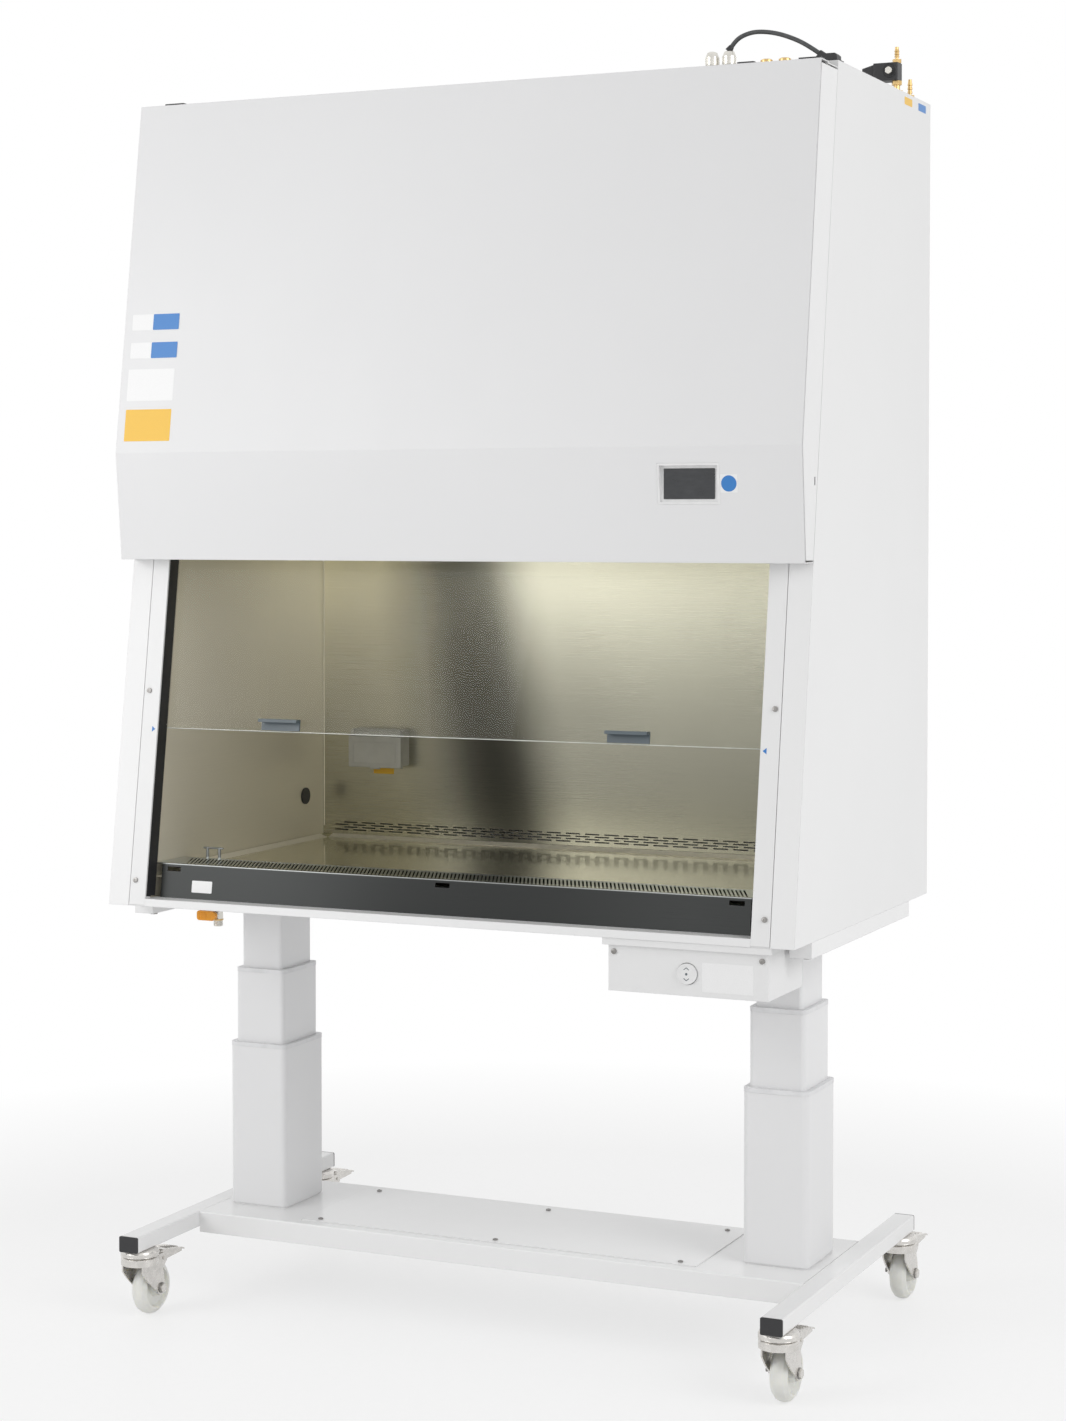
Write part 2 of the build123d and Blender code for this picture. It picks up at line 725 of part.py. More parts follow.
def chamber_back_wall():
    """The back wall with its staggered rows of return-air slots."""
    low, high = tray_top, chamber_top + filter_h + 11
    outline = Wire.make_polygon([(-wall_x, 0, low), (wall_x, 0, low), (wall_x, 0, high),
                                 (-wall_x, 0, high)])
    holes = []
    count = int((chamber_w - 40) // rear_slot_pitch_x)
    for row in range(rear_slot_rows):
        z = rear_slot_z + row * rear_slot_pitch_z
        shift = (row % 2 - 0.5) * rear_slot_pitch_x / 2
        for i in range(count):
            x = (i - (count - 1) / 2) * rear_slot_pitch_x + shift
            l, h = rear_slot_length / 2, rear_slot_h / 2
            holes.append(Wire.make_polygon([(x - l, 0, z - h), (x + l, 0, z - h),
                                            (x + l, 0, z + h), (x - l, 0, z + h)]))
    face = Face(outline, holes)
    return Pos(0, back_wall_y, 0) * extrude(face, amount=liner, dir=(0, 1, 0))


grille_front = front_y(grille_z, apron_offset)
grille_back = grille_front + grille_d


def work_tray():
    """The pressed tray: a flat work surface inside a sloping rim."""
    x = wall_x - 1
    front, back = grille_back - 8, back_wall_y - seat_gap
    low = tray_top - tray_depth
    body = block((-x, x), (front, back), (low, tray_top))
    middle = (front + back) / 2
    depth = back - front
    rim_out = 2.0
    top = Pos(0, middle, tray_top) * Rectangle(2 * (x - rim_out), depth - 2 * rim_out)
    floor = Pos(0, middle, tray_z) * Rectangle(2 * (x - tray_rim_w), depth - 2 * tray_rim_w)
    body -= loft([floor, top])
    body -= block((-x + 3, x - 3), (front + 3, back - 3), (low - 1, tray_z - 2))
    return body


def front_grille():
    """The air grille and apron: one bent sheet with slanting slots and finger slots."""
    half = grille_w / 2
    top_t = liner
    y0, y1 = grille_front, grille_back
    outline = Wire.make_polygon([(-half, y0, 0), (half, y0, 0), (half, y1, 0), (-half, y1, 0)])
    slot_front, slot_back = y0 + 9, y1 - 9
    shift = (slot_back - slot_front) * tan(radians(slot_slant))
    count = int((grille_w - 12 - shift) // slot_pitch)
    first = (shift - count * slot_pitch) / 2 + (slot_pitch - slot_w) / 2
    slots = []
    for i in range(count):
        x = first + i * slot_pitch
        slots.append(Wire.make_polygon([(x, slot_front, 0), (x + slot_w, slot_front, 0),
                                        (x + slot_w - shift, slot_back, 0),
                                        (x - shift, slot_back, 0)]))
    top = Pos(0, 0, grille_z - top_t) * extrude(Face(outline, slots), amount=top_t, dir=(0, 0, 1))
    apron = slanted((-half, half), (apron_offset, apron_offset + top_t), (sill_top, grille_z))
    flange = block((-half, half), (y1 - top_t, y1), (tray_top, grille_z))
    body = top + apron + flange
    guide_back = front_y(grille_z, pillar_depth + guide_depth) + slide_gap
    body += both_sides(block((half - 1, wall_x - 1), (guide_back, y1), (grille_z - top_t, grille_z)))
    slot_w2, slot_h = finger_slot
    for x in (-finger_slot_x, 0, finger_slot_x):
        z = grille_z - 10
        y = front_y(z, apron_offset)
        body -= block((x - slot_w2 / 2, x + slot_w2 / 2), (y - 4, y + 6),
                      (z - slot_h / 2, z + slot_h / 2))
    y = y1 - 5
    for x in post_x:
        body += rod((-x, y, grille_z - top_t), (-x, y, grille_z + post_h), 3)
    body += rod((-post_x[0] - 8, y, grille_z + post_h - 2),
                (-post_x[1] + 8, y, grille_z + post_h - 2), 1.8)
    return body


def sash_guide():
    """The right sash guide: a black channel that holds the glass's edge."""
    x0, x1 = wall_x - guide_w, wall_x
    span = (sill_top, guide_top)
    far = pillar_depth + guide_depth
    guide = slanted((x0, x1), (pillar_depth, far), span)
    groove = (sash_offset - slide_gap, sash_offset + glass_t / cos(radians(lean)) + slide_gap)
    return guide - slanted((x0 - 1, glass_half_w + 1.5), groove, (sill_top - 1, guide_top + 1))


def sash_glass():
    top = sash_bottom + glass_h * cos(radians(lean))
    thickness = glass_t / cos(radians(lean))
    pane = slanted((-glass_half_w, glass_half_w), (sash_offset, sash_offset + thickness),
                   (sash_bottom, top))
    return pane


def sash_handle(x):
    """A finger pull: a back plate and a hooked ledge that the fingers lift."""
    base = sash_bottom + 3
    y = front_y(base, sash_offset)
    y1 = front_y(base + handle_h, sash_offset)
    reach = handle_reach
    profile = [(y, base), (y1, base + handle_h), (y1 - reach, base + handle_h + 1),
               (y1 - reach - 2, base + handle_h - 5), (y1 - reach + 1, base + handle_h - 4),
               (y1 - 3, base + handle_h - 5), (y - 3, base)]
    return prism_x(profile, x - handle_w / 2, x + handle_w / 2)


def counterweight():
    w, d, h = weight_size
    bar = block((weight_x - w / 2, weight_x + w / 2), (weight_y - d / 2, weight_y + d / 2),
                (weight_z, weight_z + h))
    return chamfer(bar.edges().filter_by(Axis.Z), 3)


def pulley_shaft():
    """The cross shaft that keeps the sash level, with a grooved pulley at each end."""
    end = weight_x + pulley_w / 2 + 6
    shaft = rod((-end, pulley_y, pulley_z), (end, pulley_y, pulley_z), pulley_shaft_r)
    w = pulley_w / 2
    section = make_face(Polyline((-w, 0), (-w, pulley_r + 3), (-w + 3, pulley_r + 3),
                                 (-w + 5, pulley_r), (w - 5, pulley_r),
                                 (w - 3, pulley_r + 3), (w, pulley_r + 3), (w, 0), close=True))
    pulley = Pos(0, pulley_y, pulley_z) * revolve(section, axis=Axis.X)
    return shaft + [Pos(weight_x, 0, 0) * pulley, Pos(-weight_x, 0, 0) * pulley]


# ---------------------------------------------------------------- air handling

diffuser_h = 11.0
filter_low = chamber_top + diffuser_h
filter_high = filter_low + filter_h
deck_top = filter_high + plenum_h


def air_diffuser():
    """The shallow pan under the supply filter that spreads the down-flow."""
    pan = block((-wall_x, wall_x), (filter_front, back_wall_y), (chamber_top, filter_low))
    return pan - block((-wall_x + 12, wall_x - 12), (filter_front + 12, back_wall_y - 12),
                       (chamber_top + 2, filter_low + 1))


def filter_block(x, y, z):
    """A filter: a frame with the pleated pack set back on both faces."""
    body = block(x, y, z)
    for low, high in ((z[0] - 1, z[0] + 6), (z[1] - 6, z[1] + 1)):
        body -= block((x[0] + 18, x[1] - 18), (y[0] + 18, y[1] - 18), (low, high))
    return body


def scroll_outline(grow):
    """The fan casing's outline: a spiral that opens into a duct pointing down."""
    steps = [0, 45, 90, 135, 180, 225, 270]
    points = []
    for angle in steps:
        radius = scroll_r + scroll_growth * angle / 270 + grow
        turn = radians(180 - angle)
        points.append((fan_y + radius * cos(turn), fan_z + radius * sin(turn)))
    return points


def fan_housing():
    """The pressure plenum over the supply filter with the fan's scroll standing on it."""
    def casing(grow, half):
        points = [(0, y, z) for y, z in scroll_outline(grow)]
        spiral = Spline(points[:-1])
        y_out, y_in = points[-2][1], points[0][1]
        low = deck_top - (0 if grow == 0 else 10)
        duct = Polyline(points[-2], (0, y_out, low), (0, y_in, low), points[0])
        face = make_face([spiral, duct])
        return Pos(-half, 0, 0) * extrude(face, amount=2 * half, dir=(1, 0, 0))

    half = fan_w / 2 + 12
    y0, y1 = filter_front + 25, back_wall_y
    deck = block((-wall_x, wall_x), (y0, y1), (filter_high, deck_top))
    deck -= block((-wall_x + 2, wall_x - 2), (y0 + 2, y1 - 2), (filter_high - 1, deck_top - 2))
    body = deck + casing(0, half)
    body -= casing(-2.5, half - 2.5)
    return body - rod((-half - 1, fan_y, fan_z), (half + 1, fan_y, fan_z), fan_r * 0.62)


def fan_motor():
    """The fan's motor on its bracket beside the scroll."""
    x0 = fan_w / 2 + 12
    start = x0 + 30
    body = rod((start, fan_y, fan_z), (start + motor_length, fan_y, fan_z), motor_r)
    bracket = block((start + 10, start + motor_length - 10), (fan_y - 40, fan_y + 40),
                    (deck_top, fan_z))
    motor = body + bracket
    return motor - rod((start - 1, fan_y, fan_z), (start + 80, fan_y, fan_z), shaft_r + shaft_gap)


def fan_impeller():
    """A double-ended wheel of blades on the motor's shaft."""
    half = fan_w / 2
    hub = rod((-8, fan_y, fan_z), (8, fan_y, fan_z), fan_r)
    shaft = rod((-30, fan_y, fan_z), (half + 12 + 100, fan_y, fan_z), shaft_r)
    wheel_body = hub + shaft
    for side in (-1, 1):
        ring = rod((side * (half - 6), fan_y, fan_z), (side * half, fan_y, fan_z), fan_r)
        ring -= rod((-half - 1, fan_y, fan_z), (half + 1, fan_y, fan_z), fan_r - 24)
        wheel_body += ring
    blade = Pos(0, 0, fan_r - 12) * Rot(20, 0, 0) * Box(fan_w, 2.5, 20)
    blades = [Pos(0, fan_y, fan_z) * Rot(360 / fan_blades * i, 0, 0) * blade
              for i in range(fan_blades)]
    return wheel_body + blades


def lamp():
    """The lamp's channel between the cheeks and its tube."""
    end = half_w - sheet - turn_gap
    z0 = hood_bottom + 18
    y = front_y(z0, -20)
    channel = block((-end, end), (y - 14, y + 14), (z0, z0 + 22))
    channel -= block((-end - 1, end + 1), (y - 12, y + 12), (z0 - 1, z0 + 20))
    holders = [block((x - 8, x + 8), (y - 12, y + 12), (z0 + 2, z0 + 20))
               for x in (-wall_x, wall_x)]
    reach = wall_x - 8
    tube = rod((-reach, y, z0 + 10), (reach, y, z0 + 10), 8)
    return [channel + holders, tube]


# ---------------------------------------------------------------- hood cover

def cover_line():
    """The front cover's folds, from the hinge over the crease to the lip under it."""
    return [(hinge_y - hinge_r - 1, hood_top), (front_y(hood_top, -hood_projection), hood_top),
            (front_y(hood_crease, -hood_projection), hood_crease),
            (front_y(hood_bottom, -hood_lip_projection), hood_bottom),
            (front_y(hood_bottom, -seat_gap * 10), hood_bottom)]


def hood_face(z):
    """Y of the front cover's lower face at a height."""
    low_y = front_y(hood_bottom, -hood_lip_projection)
    high_y = front_y(hood_crease, -hood_projection)
    return low_y + (high_y - low_y) * (z - hood_bottom) / (hood_crease - hood_bottom)


def front_cover():
    """The hinged front cover: one folded sheet with stiffening returns and hinge knuckles."""
    line = cover_line()
    body = folded(line, sheet, -half_w, half_w)
    top_in, crease_in, low_in = hood_top - sheet, hood_crease, hood_bottom + sheet
    x0 = half_w - 2 * sheet - 16
    depth = hood_return
    web = [(front_y(top_in, -hood_projection + 1), top_in),
           (front_y(crease_in, -hood_projection + 1), crease_in),
           (front_y(low_in, -hood_lip_projection + 2), low_in),
           (front_y(low_in, -hood_lip_projection + depth), low_in),
           (front_y(crease_in, -hood_projection + depth), crease_in),
           (front_y(top_in, -hood_projection + depth), top_in)]
    body += both_sides(prism_x(web, x0 - sheet, x0))
    z0, z1 = display_z - display_h / 2, display_z + display_h / 2
    y = hood_face(display_z)
    body -= block((display_x - display_w / 2, display_x + display_w / 2), (y - 30, y + 30), (z0, z1))
    for side in (-1, 1):
        x = side * hinge_x
        barrel = rod((x - hinge_length / 2, hinge_y, hinge_z),
                     (x + hinge_length / 2, hinge_y, hinge_z), hinge_r)
        leaf = block((x - hinge_length / 2, x + hinge_length / 2),
                     (hinge_y - hinge_r - 8, hinge_y), (hood_top, hood_top + 2))
        gap = block((x - 8 - slide_gap, x + 8 + slide_gap),
                    (hinge_y - hinge_r - 2, hinge_y + hinge_r + 1),
                    (hood_top - 1, hinge_z + hinge_r + 1))
        pin = rod((x - 9, hinge_y, hinge_z), (x + 9, hinge_y, hinge_z), hinge_pin_r)
        body += (barrel + leaf - gap + pin)
    return body


def display_panel():
    """The display: a bezel tray sunk in the cover, leaning back, and its screen."""
    z0, z1 = display_z - display_h / 2, display_z + display_h / 2
    x0, x1 = display_x - display_w / 2, display_x + display_w / 2
    low_y, high_y = hood_face(z0), hood_face(z1)
    sink = 9.0
    g = seat_gap
    outer = prism_x([(low_y, z0 + g), (low_y + 18, z0 + g), (high_y + sink + 14, z1 - g),
                     (high_y, z1 - g)], x0 + g, x1 - g)
    pocket = prism_x([(low_y - 1, z0 + 4), (low_y + 2.5, z0 + 4), (high_y + sink, z1 - 4),
                      (high_y - 1, z1 - 4)], x0 + 4, x1 - 4)
    frame = outer - pocket
    zs0, zs1 = display_z - screen_h / 2, display_z + screen_h / 2

    def floor_y(z):
        return low_y + 2.5 + (high_y + sink - low_y - 2.5) * (z - z0 - 4) / (z1 - z0 - 8)

    sx = (display_x - screen_w / 2, display_x + screen_w / 2)
    screen = prism_x([(floor_y(zs0) - 0.8, zs0), (floor_y(zs0) + 4, zs0),
                      (floor_y(zs1) + 4, zs1), (floor_y(zs1) - 0.8, zs1)], *sx)
    return [frame - screen, screen]


# ---------------------------------------------------------------- fittings

def socket_box():
    """The splash-proof socket's base on the back wall."""
    y = back_wall_y
    x0, x1 = socket_x - socket_w / 2, socket_x + socket_w / 2
    z0, z1 = socket_z - socket_h / 2, socket_z + socket_h / 2
    base = block((x0, x1), (y - 30, y), (z0, z1))
    base = fillet(base.edges().filter_by(Axis.Y), 5)
    for x in (socket_x - 28, socket_x + 28):
        base -= rod((x, y - 31, socket_z - 4), (x, y - 14, socket_z - 4), 19)
    ears = [block((x - 4, x + 4), (y - 38, y - 28), (z1 - 12, z1 - 2)) for x in (x0 + 6, x1 - 6)]
    body = base + ears
    return body - rod((x0 - 1, y - 34, z1 - 7), (x1 + 1, y - 34, z1 - 7), 2 + turn_gap)


def socket_cover():
    """The socket's flap on its hinge pin."""
    y = back_wall_y - 30 - turn_gap
    x0, x1 = socket_x - socket_w / 2, socket_x + socket_w / 2
    z0, z1 = socket_z - socket_h / 2 - 3, socket_z + socket_h / 2
    flap = block((x0 - 1, x1 + 1), (y - 10, y), (z0, z1 - 14))
    flap = fillet(flap.edges().filter_by(Axis.X).group_by(Axis.Y)[0], 3)
    pin_y, pin_z = y - 4 + turn_gap, z1 - 7
    barrel_r = 3.6
    neck = block((x0 + 11, x1 - 11), (pin_y - barrel_r, pin_y + barrel_r), (z1 - 14.5, pin_z))
    barrel = rod((x0 + 11, pin_y, pin_z), (x1 - 11, pin_y, pin_z), barrel_r)
    flap -= block((x0 + 3, x1 - 3), (y - 7, y + 1), (z0 + 3, z1 - 17))
    pin = rod((x0 + 1, pin_y, pin_z), (x1 - 1, pin_y, pin_z), 2)
    return flap + neck + barrel + pin


def drain_valve():
    """The drain's ball valve: flange, body, stem housing and threaded outlet."""
    x, y, top = drain_x, drain_y, shell_bottom
    body = (hexagon((x, y, top - 5), (x, y, top), 26) + rod((x, y, top - 12), (x, y, top - 5), 9)
            + hexagon((x, y, top - 26), (x, y, top - 12), 18)
            + rod((x, y - 14, top - 19), (x, y, top - 19), 6)
            + rod((x, y, top - 40), (x, y, top - 26), 8))
    bore = rod((x, y, top - 41), (x, y, top + 1), 5)
    return body - bore - rod((x, y - 15, top - 19), (x, y - 10, top - 19), 2.5 + turn_gap)


def drain_handle():
    """The valve's lever on its stem."""
    x, y, z = drain_x, drain_y - 14 - turn_gap, shell_bottom - 19
    hub = rod((x, y - 8, z), (x, y, z), 7)
    lever = block((x - 33, x), (y - 8, y - 2), (z - 9, z + 9))
    lever = fillet(lever.edges().filter_by(Axis.Y).group_by(Axis.X)[0], 5)
    stem = rod((x, y, z), (x, y + 4, z), 2.5)
    return hub + lever + stem


lid_top = shell_bottom
box_top = lid_top - lid_h
box_front = shell_front + lid_overhang + 2


def control_box():
    """The stand's control box: a folded tray with a hole for the button."""
    x0, x1 = box_x - box_w / 2, box_x + box_w / 2
    y0, y1 = box_front, box_front + box_d
    z0 = box_top - box_h
    body = block((x0, x1), (y0, y1), (z0, box_top))
    body = fillet(body.edges().filter_by(Axis.Z), 2)
    body -= block((x0 + sheet, x1 - sheet), (y0 + sheet, y1 - sheet), (z0 + sheet, box_top + 1))
    body -= rod((box_x, y0 - 1, button_z), (box_x, y0 + 3, button_z), button_r + button_gap)
    bracket = block((box_x - 24, box_x + 24), (y0 + 10, y0 + 13), (z0 + sheet, button_z + 24))
    pivots = [block((box_x + s * 14 - 2, box_x + s * 14 + 2), (y0 + 4, y0 + 10),
                    (button_z - 4, button_z + 4)) for s in (-1, 1)]
    body += [bracket] + pivots
    body -= rod((box_x - 20, y0 + 6, button_z), (box_x + 20, y0 + 6, button_z), 1.5 + turn_gap)
    for x in box_screw_x():
        body -= rod((x, y0 - 1, box_top - 12), (x, y0 + 3, box_top - 12), 2.5 + seat_gap)
    return body


def box_screw_x():
    """The control box's front screws."""
    return (box_x - box_w / 2 + 11, box_x + box_w / 2 - 11)


def control_box_lid():
    """The flanged plate that carries the control box under the floor."""
    x0, x1 = box_x - box_w / 2 - lid_overhang, box_x + box_w / 2 + lid_overhang
    y0, y1 = box_front - lid_overhang, box_front + box_d + lid_overhang / 2
    plate = block((x0, x1), (y0, y1), (box_top, lid_top))
    return plate - block((x0 + sheet, x1 - sheet), (y0 + sheet, y1 - sheet),
                         (box_top + sheet, lid_top + 1))


def control_button():
    """The round rocker: its top raises the cabinet and its bottom lowers it."""
    y = box_front
    cap = rod((box_x, y - 5, button_z), (box_x, y + 2.5, button_z), button_r)
    cap = fillet(cap.edges().group_by(Axis.Y)[0], 2)
    rib = block((box_x - 11.5, box_x + 11.5), (y + 2, y + 7.5), (button_z - 2.5, button_z + 2.5))
    pin = rod((box_x - 17, y + 6, button_z), (box_x + 17, y + 6, button_z), 1.5)
    return cap + rib + pin


roof_y = front_y(shell_top) + roof_row


def cable_gland(x):
    """A nickel-plated gland: hexagon body, domed nut and the hole for the cable."""
    z = shell_top
    bore, r = cable_r + 0.5, gland_r
    nut = turned([(bore, z + 12), (r - 1, z + 12), (r, z + 14), (r, z + 28), (r - 3, z + 36),
                  (bore, z + 38)])
    body = hexagon((0, 0, z), (0, 0, z + 12), 2 * r) - rod((0, 0, z - 1), (0, 0, z + 13), bore)
    return Pos(x, roof_y, 0) * (body + nut)


def cable_route():
    """The cable's bends, from the second gland over to the roof connector."""
    heights = [(0, 40), (10, 54), (25, 64), (50, 69.5), (86, 64.5), (120, 52), (146, 38),
               (167, 23)]
    return [(gland_x[1] + dx, roof_y, shell_top - 1 + dz) for dx, dz in heights]


def bend_radii(points):
    """The largest arc that each bend's two runs allow."""
    radii = []
    for a, b, c in zip(points, points[1:], points[2:]):
        first, second = Vector(*b) - Vector(*a), Vector(*c) - Vector(*b)
        turn = radians(first.get_angle(second))
        radii.append(0.45 * min(first.length, second.length) / tan(turn / 2))
    return radii


def roof_cable():
    points = cable_route()
    radii = bend_radii(points)
    print("cable radii", [round(r, 1) for r in radii])
    path = FilletPolyline(*points, radius=radii)
    start = Plane(origin=path @ 0, z_dir=path % 0)
    tube = sweep(start * Circle(cable_r), path=path)
    print("cable volume ratio", round(tube.volume / (3.14159265 * cable_r ** 2 * path.length), 4))
    return tube


def roof_connector():
    """The black inlet that the cable runs into, with its angled sleeve."""
    end, before = Vector(*cable_route()[-1]), Vector(*cable_route()[-2])
    run = (end - before).normalized()
    z = shell_top
    base = block((end.X - 34, end.X + 40), (roof_y - 15, roof_y + 15), (z, z + 7))
    body = block((end.X - 2, end.X + 36), (roof_y - 12, roof_y + 12), (z + 7, z + 19))
    body = chamfer(body.edges().filter_by(Axis.Y).group_by(Axis.Z)[-1], 4)
    sleeve = rod(end, end + run * 16, cable_r + 2.5)
    cutter = block((end.X - 20, end.X + 20), (roof_y - 20, roof_y + 20), (z - 30, z))
    return base + body + (sleeve - cutter)


def black_fittings():
    """Black mouldings: the roof's blanking plug, the inlet and the chamber's port plug."""
    z = shell_top
    w, d, h = roof_plug
    plug = block((roof_plug_x - w / 2, roof_plug_x + w / 2), (roof_y - d / 2, roof_y + d / 2),
                 (z, z + h))
    plug = fillet(plug.edges().filter_by(Axis.Z), 3)
    port = (rod((-wall_x, port_y, port_z), (-wall_x + 3, port_y, port_z), port_r)
            + rod((-wall_x - liner - 8, port_y, port_z), (-wall_x, port_y, port_z), port_r - 4))
    knuckles = []
    for side in (-1, 1):
        x = side * hinge_x
        ring = (rod((x - 8, hinge_y, hinge_z), (x + 8, hinge_y, hinge_z), hinge_r)
                - rod((x - 9, hinge_y, hinge_z), (x + 9, hinge_y, hinge_z),
                      hinge_pin_r + turn_gap))
        lip = block((x - 8, x + 8), (hinge_y + 2.5, hinge_y + 22), (hood_top + 2 * sheet, hood_top + 8))
        foot = block((x - 20, x + 20), (hinge_y + 8, hinge_y + 30), (ledge_z, hood_top + 12))
        knuckles.append(ring + lip + foot)
    return [plug, roof_connector(), port] + knuckles


def brass_fittings():
    """Two low unions in the front row, the gas pipe under the valve and the hose barbs."""
    z = shell_top
    r = union_r
    low = [Pos(x, roof_y, 0) * turned([(0, z), (r, z), (r, z + 8), (r - 4, z + 10),
                                       (r - 4, z + 16), (r - 7, z + 18), (0, z + 18)])
           for x in union_x]
    top = z + feed_h
    feed = Pos(valve_x, valve_y, 0) * (hexagon((0, 0, z), (0, 0, z + 10), 20)
                                       + rod((0, 0, z + 10), (0, 0, top - 8), 6)
                                       + hexagon((0, 0, top - 8), (0, 0, top), 17))
    outlet = Pos(valve_x, valve_y, 0) * barb(top + coil_size[2], 7, barb_length[0])
    branch = Pos(valve_x, barb_y, 0) * barb(z, 13, barb_length[1])
    return low + [feed, outlet, branch]


def barb(z, nut_h, length):
    """A hose barb: a hexagon with saw-tooth rings above it."""
    nut = hexagon((0, 0, z), (0, 0, z + nut_h), 15)
    teeth, r, tip_r = 3, barb_r, barb_r - 1.6
    start, end = z + nut_h, z + nut_h + length
    pitch = (length - 4 - barb_tip) / teeth
    points = [(0, start), (r - 2, start), (r - 2, start + 4)]
    for i in range(teeth):
        low = start + 4 + i * pitch
        points += [(r, low), (tip_r, low + pitch)]
    points += [(tip_r, end), (0, end)]
    return nut + turned(points) - rod((0, 0, start + 2), (0, 0, end + 1), tip_r - 1.2)


def solenoid_valve():
    """The gas valve's coil block with its tapered plug and clamping nut."""
    w, d, h = coil_size
    low, high = shell_top + feed_h, shell_top + feed_h + h
    x1 = valve_x + 6
    left = x1 - w
    coil = block((left, x1), (valve_y - d / 2, valve_y + d / 2), (low, high))
    coil = fillet(coil.edges().filter_by(Axis.Z), 3)
    outline = Polyline([(left, 0, low), (left, 0, high - 2), (left - 22, 0, high - 8),
                        (left - 22, 0, low - 4), (left - 6, 0, low - 4)], close=True)
    plug = Pos(0, valve_y + d / 2 - 4, 0) * extrude(make_face(outline), amount=d - 8,
                                                    dir=(0, -1, 0))
    x, y, z = valve_x - 10, valve_y - d / 2, low + h / 2 + 1.5
    washer = rod((x, y - 1.5, z), (x, y, z), 9)
    nut = hexagon((x, y - 6, z), (x, y - 1.5, z), 11)
    return coil + plug + washer + nut


# ---------------------------------------------------------------- write the nodes

def write_stand():
    save("stand_legs", leg(-leg_x), leg(leg_x))
    save("leg_end_caps", [leg_cap(x, end, inward) for x in (-leg_x, leg_x)
                          for end, inward in ((front_end, 1), (rear_end, -1))])
    save("base_platform", platform())
    save("platform_cover", platform_cover())
    save("platform_screws", [dome_screw(x, y, leg_top + cover_t, 8) for x, y in cover_screws()])
    xs = (-column_x, column_x)
    foot = leg_top + seat_h
    save("outer_columns", [column_stage(x, 0, foot, outer_top - collar_h) for x in xs],
         [outer_drive(x) for x in xs])
    save("outer_collars", [column_collar(x, 0, outer_top) for x in xs])
    save("middle_columns", [middle_column(x) for x in xs])
    save("middle_collars", [column_collar(x, column_step, middle_top) for x in xs])


def write_casters():
    head, fork_shape, axle_shape, wheel_shape, pedal_shape = (
        caster_head(), fork(), axle(), wheel(), pedal())
    heads = []
    for end, y in swivel_y.items():
        for side, x in swivel_x.items():
            place = Pos(x, y, 0)
            heads.append(place * head)
            save(f"{end}_{side}_fork", place * fork_shape, place * axle_shape)
            save(f"{end}_{side}_wheel", place * wheel_shape)
            save(f"{end}_{side}_brake_pedal", place * pedal_shape)
    save("caster_heads", heads)


def write_shell():
    save("inner_columns", inner_column(-column_x), inner_column(column_x))
    save("support_frame", support_frame())
    save("side_panels", both_sides(side_panel()))
    save("back_panel", back_panel())
    save("roof_panel", roof_panel())
    save("floor_pan", floor_pan())
    save("hood_cheeks", both_sides(hood_cheek()))
    save("pillar_covers", both_sides(pillar_cover()))
    bolts = [hex_bolt_up(x, y, beam_bottom, shell_bottom) for x, y in frame_bolts()]
    bolts += [hex_bolt_up(x, y, beam_bottom - plate_t, shell_bottom) for x, y in plate_bolts()]
    leaning = Vector(0, cos(radians(lean)), -sin(radians(lean)))
    screws = [front_screw(side * pillar_screw_x, front_y(z), z, leaning)
              for side in (-1, 1) for z in pillar_screw_z]
    screws += [front_screw(x, box_front, box_top - 12, Vector(0, 1, 0)) for x in box_screw_x()]
    save("cabinet_screws", bolts, screws)


def write_chamber():
    save("chamber_side_walls", chamber_side_wall(), chamber_left_wall())
    save("chamber_back_wall", chamber_back_wall())
    save("work_tray", work_tray())
    save("front_grille", front_grille())
    save("sash_guides", both_sides(sash_guide()))
    save("sash_glass", sash_glass())
    save("sash_handles", sash_handle(-handle_x), sash_handle(handle_x))
    save("counterweights", both_sides(counterweight()))
    save("pulley_shaft", pulley_shaft())


def write_air():
    save("air_diffuser", air_diffuser())
    supply = filter_block((-wall_x, wall_x), (filter_front, back_wall_y), (filter_low, filter_high))
    ex, ey, eh = exhaust_size
    under_roof = shell_top - sheet
    exhaust = filter_block((-ex / 2, ex / 2), (exhaust_y - ey / 2, exhaust_y + ey / 2),
                           (under_roof - eh, under_roof))
    save("hepa_filters", supply, exhaust)
    save("fan_housing", fan_housing())
    save("fan_motor", fan_motor())
    save("fan_impeller", fan_impeller())
    save("lamp", lamp())


def write_fittings():
    save("front_cover", front_cover())
    save("display_panel", display_panel())
    save("socket_box", socket_box())
    save("socket_cover", socket_cover())
    save("drain_valve", drain_valve())
    save("drain_handle", drain_handle())
    save("control_box", control_box())
    save("control_box_lid", control_box_lid())
    save("control_button", control_button())
    save("cable_glands", [cable_gland(x) for x in gland_x])
    save("roof_cable", roof_cable())
    save("black_fittings", black_fittings())
    save("brass_fittings", brass_fittings())
    save("solenoid_valve", solenoid_valve())


os.makedirs("parts", exist_ok=True)
write_stand()
write_casters()
write_shell()
write_chamber()
write_air()
write_fittings()
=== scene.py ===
"""Dresses the biosafety cabinet: finishes, small fittings, the roof cable, a studio and a camera.

Lengths are in metres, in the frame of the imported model: +X right, +Y back, +Z up, floor at 0.
"""
from math import atan2, cos, hypot, pi, radians, sin

import bpy
from bpy.props import FloatProperty, FloatVectorProperty, IntProperty, PointerProperty
from bpy.types import Operator, Panel, PropertyGroup
from mathutils import Matrix, Vector


